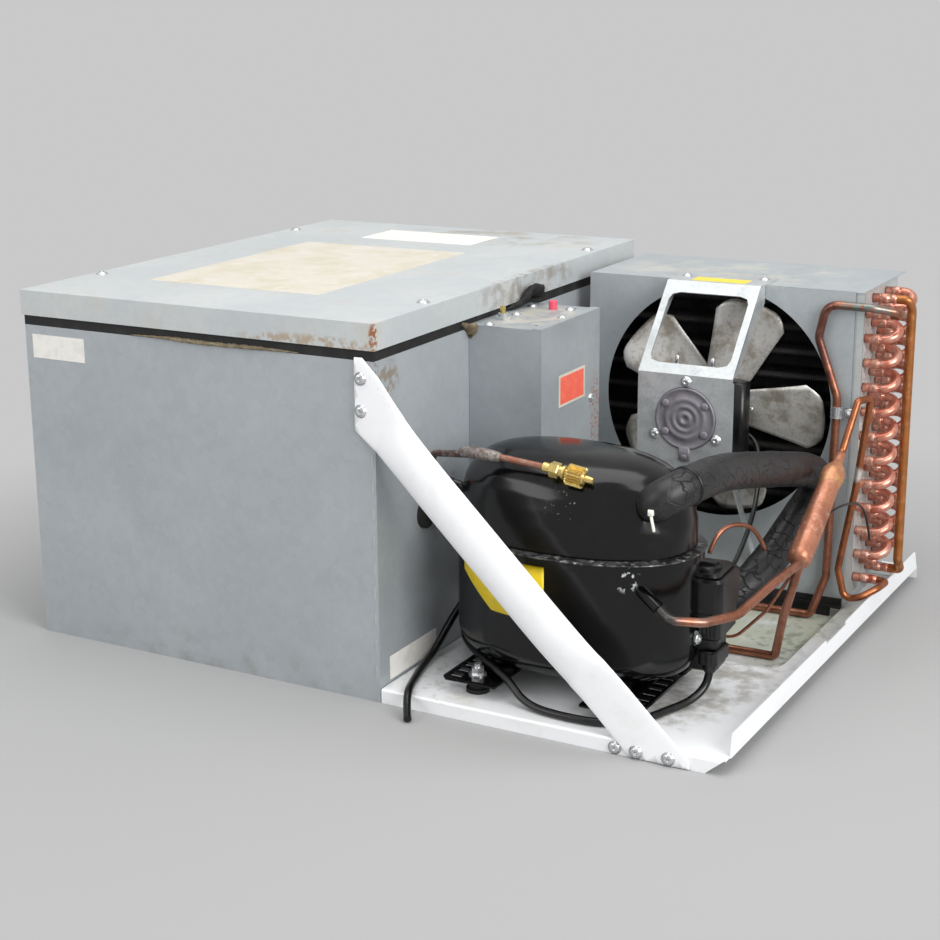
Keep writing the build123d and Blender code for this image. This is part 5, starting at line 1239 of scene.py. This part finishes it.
add_plates()
add_torn_foam()
add_seam()
add_wire()


# ---------------------------------------------------------------- floor and light
BACKGROUND = "#c9c9c9"


def seen_rays(tree):
    """1 for camera, mirror and glass rays, so that metal shows the same backdrop."""
    path = add(tree, "ShaderNodeLightPath").outputs
    some = add(tree, "ShaderNodeMath", links={0: path["Is Camera Ray"], 1: path["Is Glossy Ray"]},
               operation="MAXIMUM")
    return add(tree, "ShaderNodeMath", links={0: some.outputs[0], 1: path["Is Transmission Ray"]},
               operation="MAXIMUM").outputs[0]


def add_stage():
    """Plain pale floor that keeps the deck's soft shadow and turns into a flat grey further out."""
    mesh = bpy.data.meshes.new("floor")
    bm = bmesh.new()
    bmesh.ops.create_grid(bm, x_segments=1, y_segments=1, size=12.0)
    bm.to_mesh(mesh)
    bm.free()
    floor = link_in(bpy.data.objects.new("floor", mesh))
    material, tree, shader, place = start("matt_paper_floor", "#a4a4a4", 0.0, 0.95)
    shader.inputs["Specular IOR Level"].default_value = 0.0
    centre = add(tree, "ShaderNodeMapping", {"Scale": (0.95, 0.95, 0.95)}, {"Vector": place}, vector_type="TEXTURE")
    near = add(tree, "ShaderNodeTexGradient", links={"Vector": centre.outputs[0]}, gradient_type="SPHERICAL")
    far = add(tree, "ShaderNodeMapRange", {"From Max": 0.5, "To Min": 1.0, "To Max": 0.0},
              {"Value": near.outputs["Fac"]}, interpolation_type="SMOOTHSTEP")
    flat = add(tree, "ShaderNodeEmission", {"Color": colour(BACKGROUND), "Strength": 1.0})
    share = add(tree, "ShaderNodeMath", links={0: far.outputs[0], 1: seen_rays(tree)}, operation="MULTIPLY")
    mix = add(tree, "ShaderNodeMixShader", links={0: share.outputs[0], 1: shader.outputs[0], 2: flat.outputs[0]})
    output = next(n for n in tree.nodes if n.type == "OUTPUT_MATERIAL")
    tree.links.new(mix.outputs[0], output.inputs["Surface"])
    mesh.materials.append(material)

    world = bpy.data.worlds.new("studio")
    bpy.context.scene.world = world
    world.use_nodes = True
    tree = world.node_tree
    tree.nodes.clear()
    seen = add(tree, "ShaderNodeBackground", {"Color": colour(BACKGROUND), "Strength": 1.0})
    soft = add(tree, "ShaderNodeBackground", {"Color": (1, 1, 1, 1), "Strength": 0.62})
    mix = add(tree, "ShaderNodeMixShader", links={0: seen_rays(tree), 1: soft.outputs[0], 2: seen.outputs[0]})
    add(tree, "ShaderNodeOutputWorld", links={0: mix.outputs[0]})


def add_lamps():
    """Three square soft lamps, each aimed at the middle of the deck."""
    for name, place, aim, size, watts in (
            ("overhead", (0.1, -0.2, 2.4), (0, 0, 0.2), 2.2, 38),
            ("front_left", (-1.6, -2.4, 1.4), (0, 0, 0.2), 1.4, 17),
            ("right", (2.4, -1.1, 1.3), (0.1, 0, 0.2), 1.6, 62)):
        data = bpy.data.lights.new(name, "AREA")
        data.energy, data.size, data.shape = watts, size, "SQUARE"
        lamp = link_in(bpy.data.objects.new(name, data))
        lamp.location = place
        lamp.rotation_euler = (Vector(aim) - Vector(place)).to_track_quat("-Z", "Y").to_euler()


add_stage()
add_lamps()
